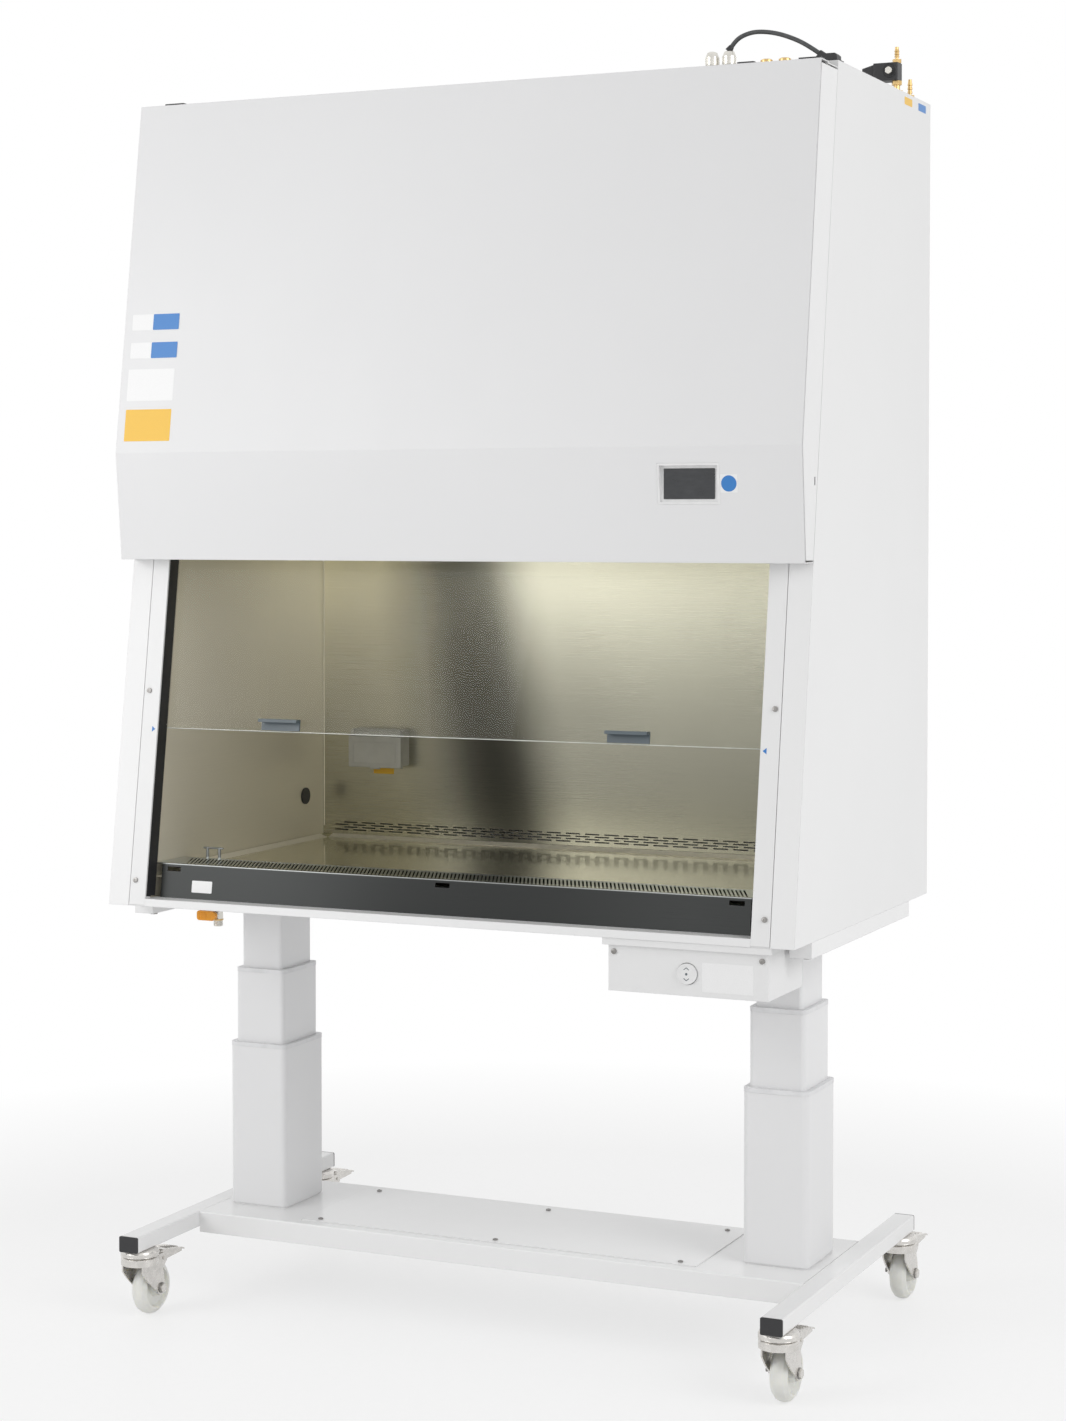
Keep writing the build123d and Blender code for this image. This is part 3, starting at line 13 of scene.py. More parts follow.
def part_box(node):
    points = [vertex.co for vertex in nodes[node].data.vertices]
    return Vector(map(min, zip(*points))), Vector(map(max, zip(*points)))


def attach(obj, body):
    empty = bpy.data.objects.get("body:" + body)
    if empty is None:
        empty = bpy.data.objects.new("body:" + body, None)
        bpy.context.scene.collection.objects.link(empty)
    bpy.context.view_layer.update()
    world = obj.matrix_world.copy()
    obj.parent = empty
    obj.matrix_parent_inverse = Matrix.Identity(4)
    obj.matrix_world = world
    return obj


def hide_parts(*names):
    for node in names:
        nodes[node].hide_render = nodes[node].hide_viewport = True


bl_info = {
    "name": "Biosafety cabinet dresser",
    "version": (1, 0, 0),
    "blender": (4, 5, 0),
    "location": "View3D > Sidebar > Cabinet",
    "description": "Gives a biosafety cabinet its finishes, small fittings, cable and studio",
    "category": "Object",
}

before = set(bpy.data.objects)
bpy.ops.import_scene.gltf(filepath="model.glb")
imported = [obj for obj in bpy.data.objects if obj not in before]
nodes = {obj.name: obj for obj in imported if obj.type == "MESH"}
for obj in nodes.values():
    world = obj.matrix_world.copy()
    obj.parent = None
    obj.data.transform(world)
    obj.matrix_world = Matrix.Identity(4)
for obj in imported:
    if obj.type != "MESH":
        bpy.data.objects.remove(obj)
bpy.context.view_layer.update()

MM = 0.001
UP = Vector((0, 0, 1))
RIGHT = Vector((1, 0, 0))
BACK = Vector((0, 1, 0))
CASTERS = [f"{end}_{side}" for end in ("front", "rear") for side in ("left", "right")]
SIDES = (-1, 1)              # left and right
FRONT_LEAN = radians(8.2)    # the front leans back
IN_FRONT = -0.8              # a Y ahead of the whole cabinet, where lines of sight start


# ---------------------------------------------------------------- sizes and colours

def colour_property(name, description, value):
    """A colour that a user can change in the sidebar."""
    return FloatVectorProperty(name=name, description=description, subtype="COLOR",
                               size=3, min=0.0, max=1.0, default=value)


def length_property(name, description, value):
    """A length that a user can change in the sidebar."""
    return FloatProperty(name=name, description=description, subtype="DISTANCE",
                         unit="LENGTH", min=0.0, precision=4, default=value)


class CabinetFinishes(PropertyGroup):
    """Colours of the cabinet's finishes."""
    shell_white: colour_property("Shell white", "Powder coat of the shell", (0.80, 0.80, 0.80))
    hood_white: colour_property("Hood white", "Powder coat of the front cover", (0.77, 0.77, 0.775))
    stand_white: colour_property("Stand white", "Powder coat of the stand", (0.86, 0.86, 0.86))
    column_white: colour_property("Column white", "Paint of the columns", (0.80, 0.80, 0.805))
    steel: colour_property("Chamber steel", "Brushed steel of the chamber", (0.80, 0.775, 0.615))
    caster_steel: colour_property("Caster steel", "Pressed caster parts", (0.71, 0.69, 0.66))
    nylon: colour_property("Nylon", "Cast nylon of the wheels", (0.80, 0.80, 0.76))
    slate: colour_property("Slate", "Plastic of the sash's finger pulls", (0.085, 0.11, 0.125))
    amber: colour_property("Amber", "Plastic of the drain lever", (0.83, 0.33, 0.01))
    brass: colour_property("Brass", "Gas and vacuum fittings", (0.72, 0.50, 0.22))
    nickel: colour_property("Nickel", "Glands and drain valve", (0.72, 0.70, 0.65))
    socket_grey: colour_property("Socket grey", "Socket moulding", (0.47, 0.47, 0.44))
    blue: colour_property("Blue", "Blank blue markers", (0.03, 0.20, 0.55))
    yellow: colour_property("Yellow", "Blank yellow markers", (0.85, 0.50, 0.03))


class CabinetSizes(PropertyGroup):
    """Sizes of the small fittings."""
    cable_radius: length_property("Cable radius", "Half the roof cable's diameter", 0.004)
    label_thickness: length_property("Label thickness", "Film of a blank label", 0.0003)
    screw_head: length_property("Screw head", "Radius of a pan head", 0.0046)
    pedal_ribs: IntProperty(name="Pedal ribs", description="Raised ribs on each brake pedal",
                            default=5, min=2, max=9)
    gland_ribs: IntProperty(name="Gland ribs", description="Grip ribs on each gland nut",
                            default=12, min=6, max=24)
    thread_turns: IntProperty(name="Thread turns", description="Rings of the drain's thread",
                              default=6, min=3, max=10)


class CabinetStudio(PropertyGroup):
    """The camera and the light."""
    lens: FloatProperty(name="Lens", description="Focal length of the camera", default=69.64,
                        min=20.0, subtype="NONE")
    camera_yaw: FloatProperty(name="Camera yaw", description="Turn to the left of straight back",
                              subtype="ANGLE", default=radians(24.462))
    camera_pitch: FloatProperty(name="Camera pitch", description="Tilt below the horizon",
                                subtype="ANGLE", default=radians(1.848))
    camera_place: FloatVectorProperty(name="Camera place", description="Where the camera stands",
                                      subtype="TRANSLATION", size=3,
                                      default=(2.1674, -4.7576, 1.4993))
    camera_shift: FloatProperty(name="Camera shift", description="Vertical lens shift",
                                default=-0.070)
    ambient: FloatProperty(name="Ambient", description="Even light from all around", default=0.585,
                           min=0.0)
    key_power: FloatProperty(name="Key power", description="Soft light from the right",
                             default=106.0, min=0.0)
    fill_power: FloatProperty(name="Fill power", description="Soft light from the left front",
                              default=54.0, min=0.0)


def finishes():
    """The colours that the sidebar holds."""
    return bpy.context.scene.cabinet_finishes


def sizes():
    """The small sizes that the sidebar holds."""
    return bpy.context.scene.cabinet_sizes


def studio():
    """The camera and light settings that the sidebar holds."""
    return bpy.context.scene.cabinet_studio


# ---------------------------------------------------------------- material helpers

def new_material(name, colour, rough, metal=0.0):
    """A material with one Principled shader, and its node tree and shader."""
    material = bpy.data.materials.new(name)
    material.use_nodes = True
    tree = material.node_tree
    shader = tree.nodes["Principled BSDF"]
    shader.inputs["Base Color"].default_value = (*colour, 1.0)
    shader.inputs["Roughness"].default_value = rough
    shader.inputs["Metallic"].default_value = metal
    material.diffuse_color = (*colour, 1.0)
    return material, tree, shader


def object_space(tree, stretch=(1, 1, 1), turn=(0, 0, 0)):
    """Object coordinates through a Mapping node."""
    place = tree.nodes.new("ShaderNodeTexCoord")
    mapping = tree.nodes.new("ShaderNodeMapping")
    mapping.inputs["Scale"].default_value = stretch
    mapping.inputs["Rotation"].default_value = turn
    tree.links.new(place.outputs["Object"], mapping.inputs["Vector"])
    return mapping.outputs["Vector"]


def noise(tree, scale, stretch=(1, 1, 1), detail=3.0, rough=0.5):
    """A noise pattern on Object coordinates."""
    pattern = tree.nodes.new("ShaderNodeTexNoise")
    pattern.inputs["Scale"].default_value = scale
    pattern.inputs["Detail"].default_value = detail
    pattern.inputs["Roughness"].default_value = rough
    tree.links.new(object_space(tree, stretch), pattern.inputs["Vector"])
    return pattern.outputs["Fac"]


def spread(tree, value, low, high, from_low=0.3, from_high=0.7):
    """Maps a pattern's middle range to new limits."""
    mapped = tree.nodes.new("ShaderNodeMapRange")
    mapped.inputs["From Min"].default_value = from_low
    mapped.inputs["From Max"].default_value = from_high
    mapped.inputs["To Min"].default_value = low
    mapped.inputs["To Max"].default_value = high
    tree.links.new(value, mapped.inputs["Value"])
    return mapped.outputs["Result"]


def along_axis(tree, axis):
    """One Object coordinate, in metres."""
    place = tree.nodes.new("ShaderNodeTexCoord")
    parts = tree.nodes.new("ShaderNodeSeparateXYZ")
    tree.links.new(place.outputs["Object"], parts.inputs["Vector"])
    return parts.outputs[axis]


def arithmetic(tree, operation, first, second):
    """A Math node on two sockets or numbers."""
    sum_ = tree.nodes.new("ShaderNodeMath")
    sum_.operation = operation
    for socket, value in zip(sum_.inputs, (first, second)):
        if isinstance(value, (int, float)):
            socket.default_value = value
        else:
            tree.links.new(value, socket)
    return sum_.outputs["Value"]


def ramp(tree, value, stops):
    """A smooth level of painted light and shade that follows a value through (place, level) stops.
    """
    first, last = stops[0][0], stops[-1][0]
    peak = max(light_level for _, light_level in stops)
    mapped = spread(tree, value, 0.0, 1.0, first, last)
    curve = tree.nodes.new("ShaderNodeValToRGB")
    curve.color_ramp.interpolation = "B_SPLINE"
    elements = curve.color_ramp.elements
    elements[1].position = 1.0
    elements[0].color = (stops[0][1] / peak,) * 3 + (1.0,)
    elements[1].color = (stops[-1][1] / peak,) * 3 + (1.0,)
    for place, light_level in stops[1:-1]:
        stop = elements.new((place - first) / (last - first))
        stop.color = (light_level / peak,) * 3 + (1.0,)
    tree.links.new(mapped, curve.inputs["Fac"])
    grey = tree.nodes.new("ShaderNodeRGBToBW")
    tree.links.new(curve.outputs["Color"], grey.inputs["Color"])
    return arithmetic(tree, "MULTIPLY", grey.outputs["Val"], peak)


def dim(tree, colour, light_level):
    """A colour socket multiplied by a level of painted light and shade."""
    mix = tree.nodes.new("ShaderNodeMix")
    mix.data_type = "RGBA"
    mix.blend_type = "MULTIPLY"
    mix.inputs["Factor"].default_value = 1.0
    tree.links.new(colour, mix.inputs["A"])
    tree.links.new(light_level, mix.inputs["B"])
    return mix.outputs["Result"]


def shade(colour, factor):
    """A colour made lighter or darker."""
    return tuple(min(1.0, channel * factor) for channel in colour)


def blend_colours(tree, value, first, second):
    """Mixes two colours by a pattern."""
    mix = tree.nodes.new("ShaderNodeMix")
    mix.data_type = "RGBA"
    mix.inputs["A"].default_value = (*first, 1.0)
    mix.inputs["B"].default_value = (*second, 1.0)
    tree.links.new(value, mix.inputs["Factor"])
    return mix.outputs["Result"]


def mottle(tree, shader, pattern, first, second, light_level=None):
    """Mixes the base colour from two by a pattern, and dims it by painted light and shade where a
    light level is given.
    """
    tone = blend_colours(tree, spread(tree, pattern, 0.0, 1.0), first, second)
    if light_level:
        tone = dim(tree, tone, light_level(tree))
    tree.links.new(tone, shader.inputs["Base Color"])


def vary_gloss(tree, shader, pattern, low, high):
    """Lets a pattern move the roughness between two values."""
    tree.links.new(spread(tree, pattern, low, high), shader.inputs["Roughness"])


def relief(tree, shader, heights, edge=0.0):
    """Stacks bumps, given as (pattern, strength, depth), over softly rounded edges."""
    normal = None
    if edge:
        rounding = tree.nodes.new("ShaderNodeBevel")
        rounding.samples = 4
        rounding.inputs["Radius"].default_value = edge
        normal = rounding.outputs["Normal"]
    for pattern, strength, depth in heights:
        bump = tree.nodes.new("ShaderNodeBump")
        bump.inputs["Strength"].default_value = strength
        bump.inputs["Distance"].default_value = depth
        tree.links.new(pattern, bump.inputs["Height"])
        if normal:
            tree.links.new(normal, bump.inputs["Normal"])
        normal = bump.outputs["Normal"]
    tree.links.new(normal, shader.inputs["Normal"])


# ---------------------------------------------------------------- materials

def powder_coat(name, colour, rough=0.34, edge=0.0012, light_level=None):
    """Smooth powder coat: orange peel, a cloudy tone and faint handling marks, with painted light
    where a light level is given.
    """
    material, tree, shader = new_material(name, colour, rough)
    cloud = noise(tree, 2.2, detail=2.0)
    marks = noise(tree, 11.0, (1, 1, 0.35), detail=6.0, rough=0.65)
    peel = noise(tree, 700.0, detail=1.5)
    mottle(tree, shader, cloud, shade(colour, 0.99), shade(colour, 1.01), light_level)
    vary_gloss(tree, shader, marks, rough - 0.02, rough + 0.03)
    relief(tree, shader, [(peel, 0.10, 0.00010)], edge)
    return material


def brushed_steel(name, colour, grain, rough=0.27, light_level=None, metal=1.0, tint=0.035,
                  bump=0.05):
    """Brushed stainless steel: very fine long streaks and slight clouding, dimmed by painted light
    and shade where a light level is given.
    """
    material, tree, shader = new_material(name, colour, rough, metal)
    fine = noise(tree, 1.0, grain, detail=4.0, rough=0.75)
    cloud = noise(tree, 3.0, detail=3.0)
    mottle(tree, shader, fine, shade(colour, 1.0 - tint), shade(colour, 1.0 + tint), light_level)
    streaks = spread(tree, fine, rough - 0.02, rough + 0.02)
    tree.links.new(arithmetic(tree, "ADD", streaks, spread(tree, cloud, -0.02, 0.02)),
                   shader.inputs["Roughness"])
    relief(tree, shader, [(fine, bump, 0.00002)], 0.0004)
    return material


def back_wall_painted_light(tree):
    """Painted light on the back wall's colour: a painted highlight under the lamp, and one broad
    dark band of painted reflection that leans.
    """
    height = ramp(tree, along_axis(tree, "Z"), BACK_WALL_SHEEN)
    lean = arithmetic(tree, "MULTIPLY", along_axis(tree, "Z"), PAINTED_REFLECTION_LEAN)
    across = arithmetic(tree, "ADD", along_axis(tree, "X"), lean)
    light_level = arithmetic(tree, "MULTIPLY", height, ramp(tree, across, PAINTED_REFLECTION_BAND))
    return arithmetic(tree, "MINIMUM", light_level, BRIGHTEST_PAINTED_LIGHT)


def side_wall_painted_light(tree):
    """Painted light on the side walls' colour, fading to painted shade towards the tray."""
    return ramp(tree, along_axis(tree, "Z"), SIDE_WALL_SHEEN)


def grille_painted_light(tree):
    """Painted light on the grille's colour: a painted highlight on its bars, and painted shade on
    its bend and its apron.
    """
    bars_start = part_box("front_grille")[1].y - GRILLE_BARS_DEPTH
    height = ramp(tree, along_axis(tree, "Z"), GRILLE_SHEEN)
    across = ramp(tree, along_axis(tree, "X"), GRILLE_SHEEN_ACROSS)
    bend = ramp(tree, along_axis(tree, "Y"),
                ((bars_start - 0.002, GRILLE_BEND_SHADE), (bars_start, 1.0)))
    return arithmetic(tree, "MULTIPLY", arithmetic(tree, "MULTIPLY", height, bend), across)


def side_panel_painted_light(tree):
    """Painted light: the side panels' colour is a little brighter towards the floor."""
    return ramp(tree, along_axis(tree, "Z"), SIDE_PANEL_SHEEN)


def plated(name, colour, rough=0.22):
    """Bright plating with faint polishing marks and dull patches."""
    material, tree, shader = new_material(name, colour, rough, metal=1.0)
    patches = noise(tree, 60.0, detail=5.0, rough=0.65)
    scratches = noise(tree, 240.0, (1, 1, 6), detail=3.0)
    mottle(tree, shader, patches, shade(colour, 0.86), shade(colour, 1.06))
    vary_gloss(tree, shader, patches, rough - 0.07, rough + 0.14)
    relief(tree, shader, [(scratches, 0.12, 0.00008)], 0.0005)
    return material


def moulded(name, colour, rough=0.45, grain=1400.0, edge=0.0005):
    """Moulded plastic: fine spark grain and a slightly uneven gloss."""
    material, tree, shader = new_material(name, colour, rough)
    spark = noise(tree, grain, detail=2.0)
    cloud = noise(tree, 30.0, detail=3.0)
    mottle(tree, shader, cloud, shade(colour, 0.93), shade(colour, 1.06))
    vary_gloss(tree, shader, cloud, rough - 0.05, rough + 0.06)
    relief(tree, shader, [(spark, 0.22, 0.00008)], edge)
    return material


def printed_film(name, colour):
    """A smooth self-adhesive film with a faint satin grain."""
    material, tree, shader = new_material(name, colour, 0.32)
    satin = noise(tree, 700.0, detail=2.0)
    mottle(tree, shader, satin, shade(colour, 0.98), shade(colour, 1.02))
    vary_gloss(tree, shader, satin, 0.30, 0.36)
    return material


def cast_nylon(name, colour):
    """Natural cast nylon: milky, slightly translucent, scuffed on the tread."""
    material, tree, shader = new_material(name, colour, 0.33)
    shader.inputs["Subsurface Weight"].default_value = 0.35
    shader.inputs["Subsurface Radius"].default_value = (0.012, 0.011, 0.008)
    shader.inputs["Subsurface Scale"].default_value = 0.5
    milk = noise(tree, 28.0, detail=4.0, rough=0.6)
    scuffs = noise(tree, 160.0, (5, 1, 1), detail=4.0, rough=0.7)
    mottle(tree, shader, milk, shade(colour, 0.93), shade(colour, 1.04))
    vary_gloss(tree, shader, scuffs, 0.26, 0.46)
    relief(tree, shader, [(scuffs, 0.10, 0.0002)], 0.0010)
    return material


def sash_pane(name):
    """Laminated glass with a faint green body and finger haze."""
    material, tree, shader = new_material(name, (0.93, 0.97, 0.955), 0.02)
    shader.inputs["Transmission Weight"].default_value = 1.0
    shader.inputs["IOR"].default_value = 1.5
    shader.inputs["Alpha"].default_value = 0.09
    haze = noise(tree, 9.0, detail=6.0, rough=0.6)
    tree.links.new(spread(tree, haze, 0.0, 0.05, 0.5, 0.9), shader.inputs["Roughness"])
    return material


def dark_glass(name):
    """The display's cover glass, with faint smears."""
    material, tree, shader = new_material(name, (0.018, 0.020, 0.024), 0.08)
    shader.inputs["Coat Weight"].default_value = 0.4
    smear = noise(tree, 40.0, (1, 1, 3), detail=5.0, rough=0.6)
    mottle(tree, shader, smear, (0.016, 0.018, 0.021), (0.026, 0.028, 0.032))
    vary_gloss(tree, shader, smear, 0.05, 0.20)
    return material


def glowing_tube(name):
    """The lamp's tube: a soft even glow that fades to its ends."""
    material, tree, shader = new_material(name, (0.9, 0.9, 0.85), 0.3)
    shader.inputs["Emission Color"].default_value = (1.0, 0.96, 0.80, 1.0)
    along = tree.nodes.new("ShaderNodeTexGradient")
    along.gradient_type = "QUADRATIC_SPHERE"
    tree.links.new(object_space(tree, (1.4, 0, 0)), along.inputs["Vector"])
    tree.links.new(spread(tree, along.outputs["Fac"], 2.0, 5.0, 0.0, 0.3),
                   shader.inputs["Emission Strength"])
    return material


def rubber_jacket(name):
    """The cable's dark grey jacket, with a dull bloom and fine drawing lines."""
    material, tree, shader = new_material(name, (0.055, 0.058, 0.060), 0.42)
    bloom = noise(tree, 120.0, detail=4.0)
    lines = noise(tree, 900.0, detail=2.0)
    mottle(tree, shader, bloom, (0.045, 0.048, 0.050), (0.085, 0.088, 0.090))
    vary_gloss(tree, shader, bloom, 0.35, 0.52)
    relief(tree, shader, [(lines, 0.15, 0.00006)])
    return material


def filter_paper(name):
    """Pleated filter paper: white, fibrous and matt."""
    material, tree, shader = new_material(name, (0.80, 0.80, 0.77), 0.85)
    fibres = noise(tree, 500.0, (1, 4, 4), detail=5.0, rough=0.7)
    mottle(tree, shader, fibres, (0.72, 0.72, 0.69), (0.86, 0.86, 0.84))
    relief(tree, shader, [(fibres, 0.4, 0.0003)])
    return material


def perforated_steel(name, colour):
    """The diffuser: steel with staggered rows of small round holes, painted near-black as painted
    shade.
    """
    material, tree, shader = new_material(name, colour, 0.35, metal=1.0)
    holes = tree.nodes.new("ShaderNodeTexVoronoi")
    holes.inputs["Scale"].default_value = 125.0
    holes.inputs["Randomness"].default_value = 0.0
    tree.links.new(object_space(tree, (1, 1, 0), (0, 0, radians(45))), holes.inputs["Vector"])
    edge = spread(tree, holes.outputs["Distance"], 0.0, 1.0, 0.26, 0.30)
    # Painted shade: the holes are near-black colour on a sheet with no holes cut.
    tone = blend_colours(tree, edge, (0.02, 0.02, 0.02), colour)
    tree.links.new(tone, shader.inputs["Base Color"])
    relief(tree, shader, [(edge, 0.5, 0.0006)])
    return material


def galvanised(name):
    """Galvanised sheet with its crystal spangle."""
    material, tree, shader = new_material(name, (0.55, 0.56, 0.56), 0.42, metal=1.0)
    spangle = tree.nodes.new("ShaderNodeTexVoronoi")
    spangle.inputs["Scale"].default_value = 90.0
    tree.links.new(object_space(tree), spangle.inputs["Vector"])
    grey = tree.nodes.new("ShaderNodeRGBToBW")
    tree.links.new(spangle.outputs["Color"], grey.inputs["Color"])
    tone = blend_colours(tree, grey.outputs["Val"], (0.46, 0.47, 0.47), (0.62, 0.63, 0.63))
    tree.links.new(tone, shader.inputs["Base Color"])
    tree.links.new(spread(tree, grey.outputs["Val"], 0.34, 0.50, 0.0, 1.0),
                   shader.inputs["Roughness"])
    return material


# Painted light and shade on a finish's colour along one axis, as (metres, level) stops: painted
# highlights and reflections above 1, painted shade below.
# The back wall's painted highlight, brightest under the lamp.
BACK_WALL_SHEEN = ((0.85, 0.29), (1.02, 0.30), (1.15, 0.36), (1.24, 0.46), (1.32, 0.58),
                   (1.42, 0.86))                                                # along Z
BRIGHTEST_PAINTED_LIGHT = 1.22       # keeps the back wall's colour under full white
# The side walls' painted light, with painted shade towards the tray.
SIDE_WALL_SHEEN = ((0.85, 0.72), (1.00, 0.76), (1.20, 0.90), (1.32, 1.0))       # along Z
# Painted light on the side panels, brighter towards the floor.
SIDE_PANEL_SHEEN = ((0.80, 1.05), (1.50, 1.02), (2.30, 0.955))                  # along Z
# The grille's painted highlight on its bars, and painted shade on its apron and posts.
GRILLE_SHEEN = ((0.8600, 0.115), (0.8612, 0.115), (0.8620, 1.0), (0.8650, 1.0),
                (0.8670, 0.30))                                                 # along Z
# Painted reflection across the grille, brighter at its ends and darker in the middle.
GRILLE_SHEEN_ACROSS = ((-0.48, 1.0), (-0.25, 0.88), (-0.10, 0.58), (0.10, 0.60), (0.29, 0.88),
                 (0.48, 1.45))                                                  # along X
GRILLE_BARS_DEPTH = 0.0905   # from the grille's rear edge to the front of its slots
# Painted shade on the grille's front bend.
GRILLE_BEND_SHADE = 0.30
# The back wall's painted reflection: one broad dark band that leans.
PAINTED_REFLECTION_LEAN = 0.182       # how far the band moves to the left for each metre up
PAINTED_REFLECTION_BAND = ((-0.24, 1.9), (-0.15, 0.95), (-0.075, 0.10), (0.03, 0.08), (0.095, 0.70),
             (0.155, 1.0))                                                      # across the band


def make_materials():
    """Every finish of the cabinet, by name."""
    tones = finishes()
    wall_grain = (6.0, 6.0, 2600.0)
    tray_grain = (6.0, 2600.0, 2600.0)
    return {
        "shell": powder_coat("shell_powder_coat", tones.shell_white),
        "side": powder_coat("side_powder_coat", tones.shell_white, light_level=side_panel_painted_light),
        "hood": powder_coat("hood_powder_coat", tones.hood_white, 0.38),
        "stand": powder_coat("stand_powder_coat", tones.stand_white, 0.22),
        "column": powder_coat("column_paint", tones.column_white, 0.30, 0.0016),
        "back_wall": brushed_steel("back_wall_steel", tones.steel, wall_grain, 0.28,
                                   back_wall_painted_light),
        # The side walls' colour is lighter than the chamber steel as painted light.
        "wall": brushed_steel("side_wall_steel", (0.97, 0.905, 0.735), wall_grain, 0.38,
                              side_wall_painted_light, 0.30),
        # The trim's bright cream colour is a painted highlight along the rims and corner joints.
        "trim": brushed_steel("trim_steel_painted_highlight", (0.92, 0.88, 0.76), wall_grain, 0.40, None, 0.30),
        "tray": brushed_steel("work_tray_steel", tones.steel, tray_grain, 0.11, bump=0.004),
        "apron": brushed_steel("grille_steel", (0.78, 0.81, 0.80), tray_grain, 0.30, grille_painted_light),
        "caster": plated("caster_plating", tones.caster_steel),
        "nickel": plated("nickel_plating", tones.nickel, 0.20),
        "brass": plated("brass_fitting", tones.brass, 0.26),
        "zinc": plated("zinc_screw", (0.30, 0.29, 0.28), 0.34),
        "nylon": cast_nylon("wheel_nylon", tones.nylon),
        "black": moulded("black_plastic", (0.022, 0.022, 0.024), 0.42),
        "slate": moulded("finger_pull_plastic", tones.slate, 0.38),
        "grey": moulded("collar_plastic", (0.76, 0.76, 0.77), 0.40),
        "socket": moulded("socket_plastic", tones.socket_grey, 0.42),
        "bezel": moulded("bezel_plastic", (0.80, 0.80, 0.80), 0.35),
        "amber": moulded("lever_plastic", tones.amber, 0.28),
        "film": printed_film("label_film", (0.86, 0.86, 0.86)),
        "blue": printed_film("blue_film", tones.blue),
        "yellow": printed_film("yellow_film", tones.yellow),
        "glass_edge": moulded("glass_edge", (0.60, 0.62, 0.57), 0.25, 500.0, 0.0),
        "glass": sash_pane("sash_glass_pane"),
        "screen": dark_glass("display_glass"),
        "glow": glowing_tube("lamp_glow"),
        "rubber": rubber_jacket("cable_jacket"),
        "paper": filter_paper("filter_paper"),
        "diffuser": perforated_steel("diffuser_steel", tones.steel),
        "galvanised": galvanised("galvanised_sheet"),
        "iron": moulded("cast_iron", (0.10, 0.10, 0.10), 0.55, 500.0),
    }


NODE_FINISH = {
    "side": ["side_panels"],
    "shell": ["back_panel", "roof_panel", "floor_pan", "hood_cheeks",
              "pillar_covers", "control_box", "control_box_lid"],
    "hood": ["front_cover"],
    "stand": ["stand_legs", "base_platform", "platform_cover", "support_frame"],
    "column": ["outer_columns", "middle_columns", "inner_columns"],
    "grey": ["outer_collars", "middle_collars"],
    "wall": ["chamber_side_walls"],
    "back_wall": ["chamber_back_wall"],
    "tray": ["work_tray"],
    "apron": ["front_grille"],
    "diffuser": ["air_diffuser"],
    "caster": ["caster_heads"] + [f"{caster}_fork" for caster in CASTERS]
              + [f"{caster}_brake_pedal" for caster in CASTERS],
    "nylon": [f"{caster}_wheel" for caster in CASTERS],
    "zinc": ["platform_screws", "cabinet_screws"],
    "nickel": ["cable_glands", "drain_valve"],
    "brass": ["brass_fittings"],
    "black": ["leg_end_caps", "sash_guides", "black_fittings", "solenoid_valve"],
    "slate": ["sash_handles"],
    "bezel": ["display_panel", "control_button"],
    "socket": ["socket_box", "socket_cover"],
    "amber": ["drain_handle"],
    "glass": ["sash_glass"],
    "paper": ["hepa_filters"],
    "galvanised": ["fan_housing", "fan_impeller", "pulley_shaft", "lamp"],
    "iron": ["counterweights", "fan_motor"],
}
materials = {}


# ---------------------------------------------------------------- modelling helpers

def deselect():
    """Leaves edit mode and clears the selection."""
    if bpy.context.object and bpy.context.object.mode != "OBJECT":
        bpy.ops.object.mode_set(mode="OBJECT")
    bpy.ops.object.select_all(action="DESELECT")


def activate(piece):
    """Makes one object the selected and active one."""
    deselect()
    piece.select_set(True)
    bpy.context.view_layer.objects.active = piece


def primitive(kind, name, **placing):
    """Adds a mesh primitive under a name."""
    deselect()
    getattr(bpy.ops.mesh, f"primitive_{kind}_add")(**placing)
    piece = bpy.context.object
    piece.name = name
    piece.data.name = name
    return piece


def settle(piece, place=None):
    """Moves a piece by a matrix, if given, and applies its place to its mesh."""
    activate(piece)
    if place is not None:
        piece.matrix_world = place @ piece.matrix_world
    bpy.ops.object.transform_apply(location=True, rotation=True, scale=True)
    return piece


def edit_faces(piece, wanted):
    """Opens edit mode with the faces selected whose centre and normal pass a test."""
    activate(piece)
    bpy.context.tool_settings.mesh_select_mode = (False, False, True)
    bpy.ops.object.mode_set(mode="EDIT")
    bpy.ops.mesh.select_all(action="DESELECT")
    bpy.ops.object.mode_set(mode="OBJECT")
    for face in piece.data.polygons:
        face.select = wanted(face.center, face.normal)
    bpy.ops.object.mode_set(mode="EDIT")


def close_edit():
    """Returns to object mode."""
    bpy.ops.object.mode_set(mode="OBJECT")


def modify(piece, kind, **settings):
    """Adds a modifier and applies it."""
    activate(piece)
    change = piece.modifiers.new(kind.lower(), kind)
    for key, value in settings.items():
        setattr(change, key, value)
    bpy.ops.object.modifier_apply(modifier=change.name)


def bar(name, size, place=None):
    """A box of a given size, moved by a matrix where one is given."""
    piece = primitive("cube", name, size=1.0)
    piece.scale = size
    return settle(piece, place)


def ring(name, radius, thickness, place=None, around=48, section=8):
    """A round ring that lies flat, moved by a matrix where one is given."""
    piece = primitive("torus", name, major_radius=radius, minor_radius=thickness,
                      major_segments=around, minor_segments=section)
    return settle(piece, place)


def thicken(piece, thickness, rim=0.0):
    """Turns a flat face into a film of a thickness, with an inset rim where one is given."""
    edit_faces(piece, lambda centre_, normal: True)
    bpy.ops.mesh.extrude_region_move(TRANSFORM_OT_translate={"value": (0, 0, thickness)})
    if rim:
        bpy.ops.mesh.inset(thickness=rim, depth=0)
    bpy.ops.mesh.select_all(action="SELECT")
    bpy.ops.mesh.normals_make_consistent(inside=False)
    close_edit()
    return piece


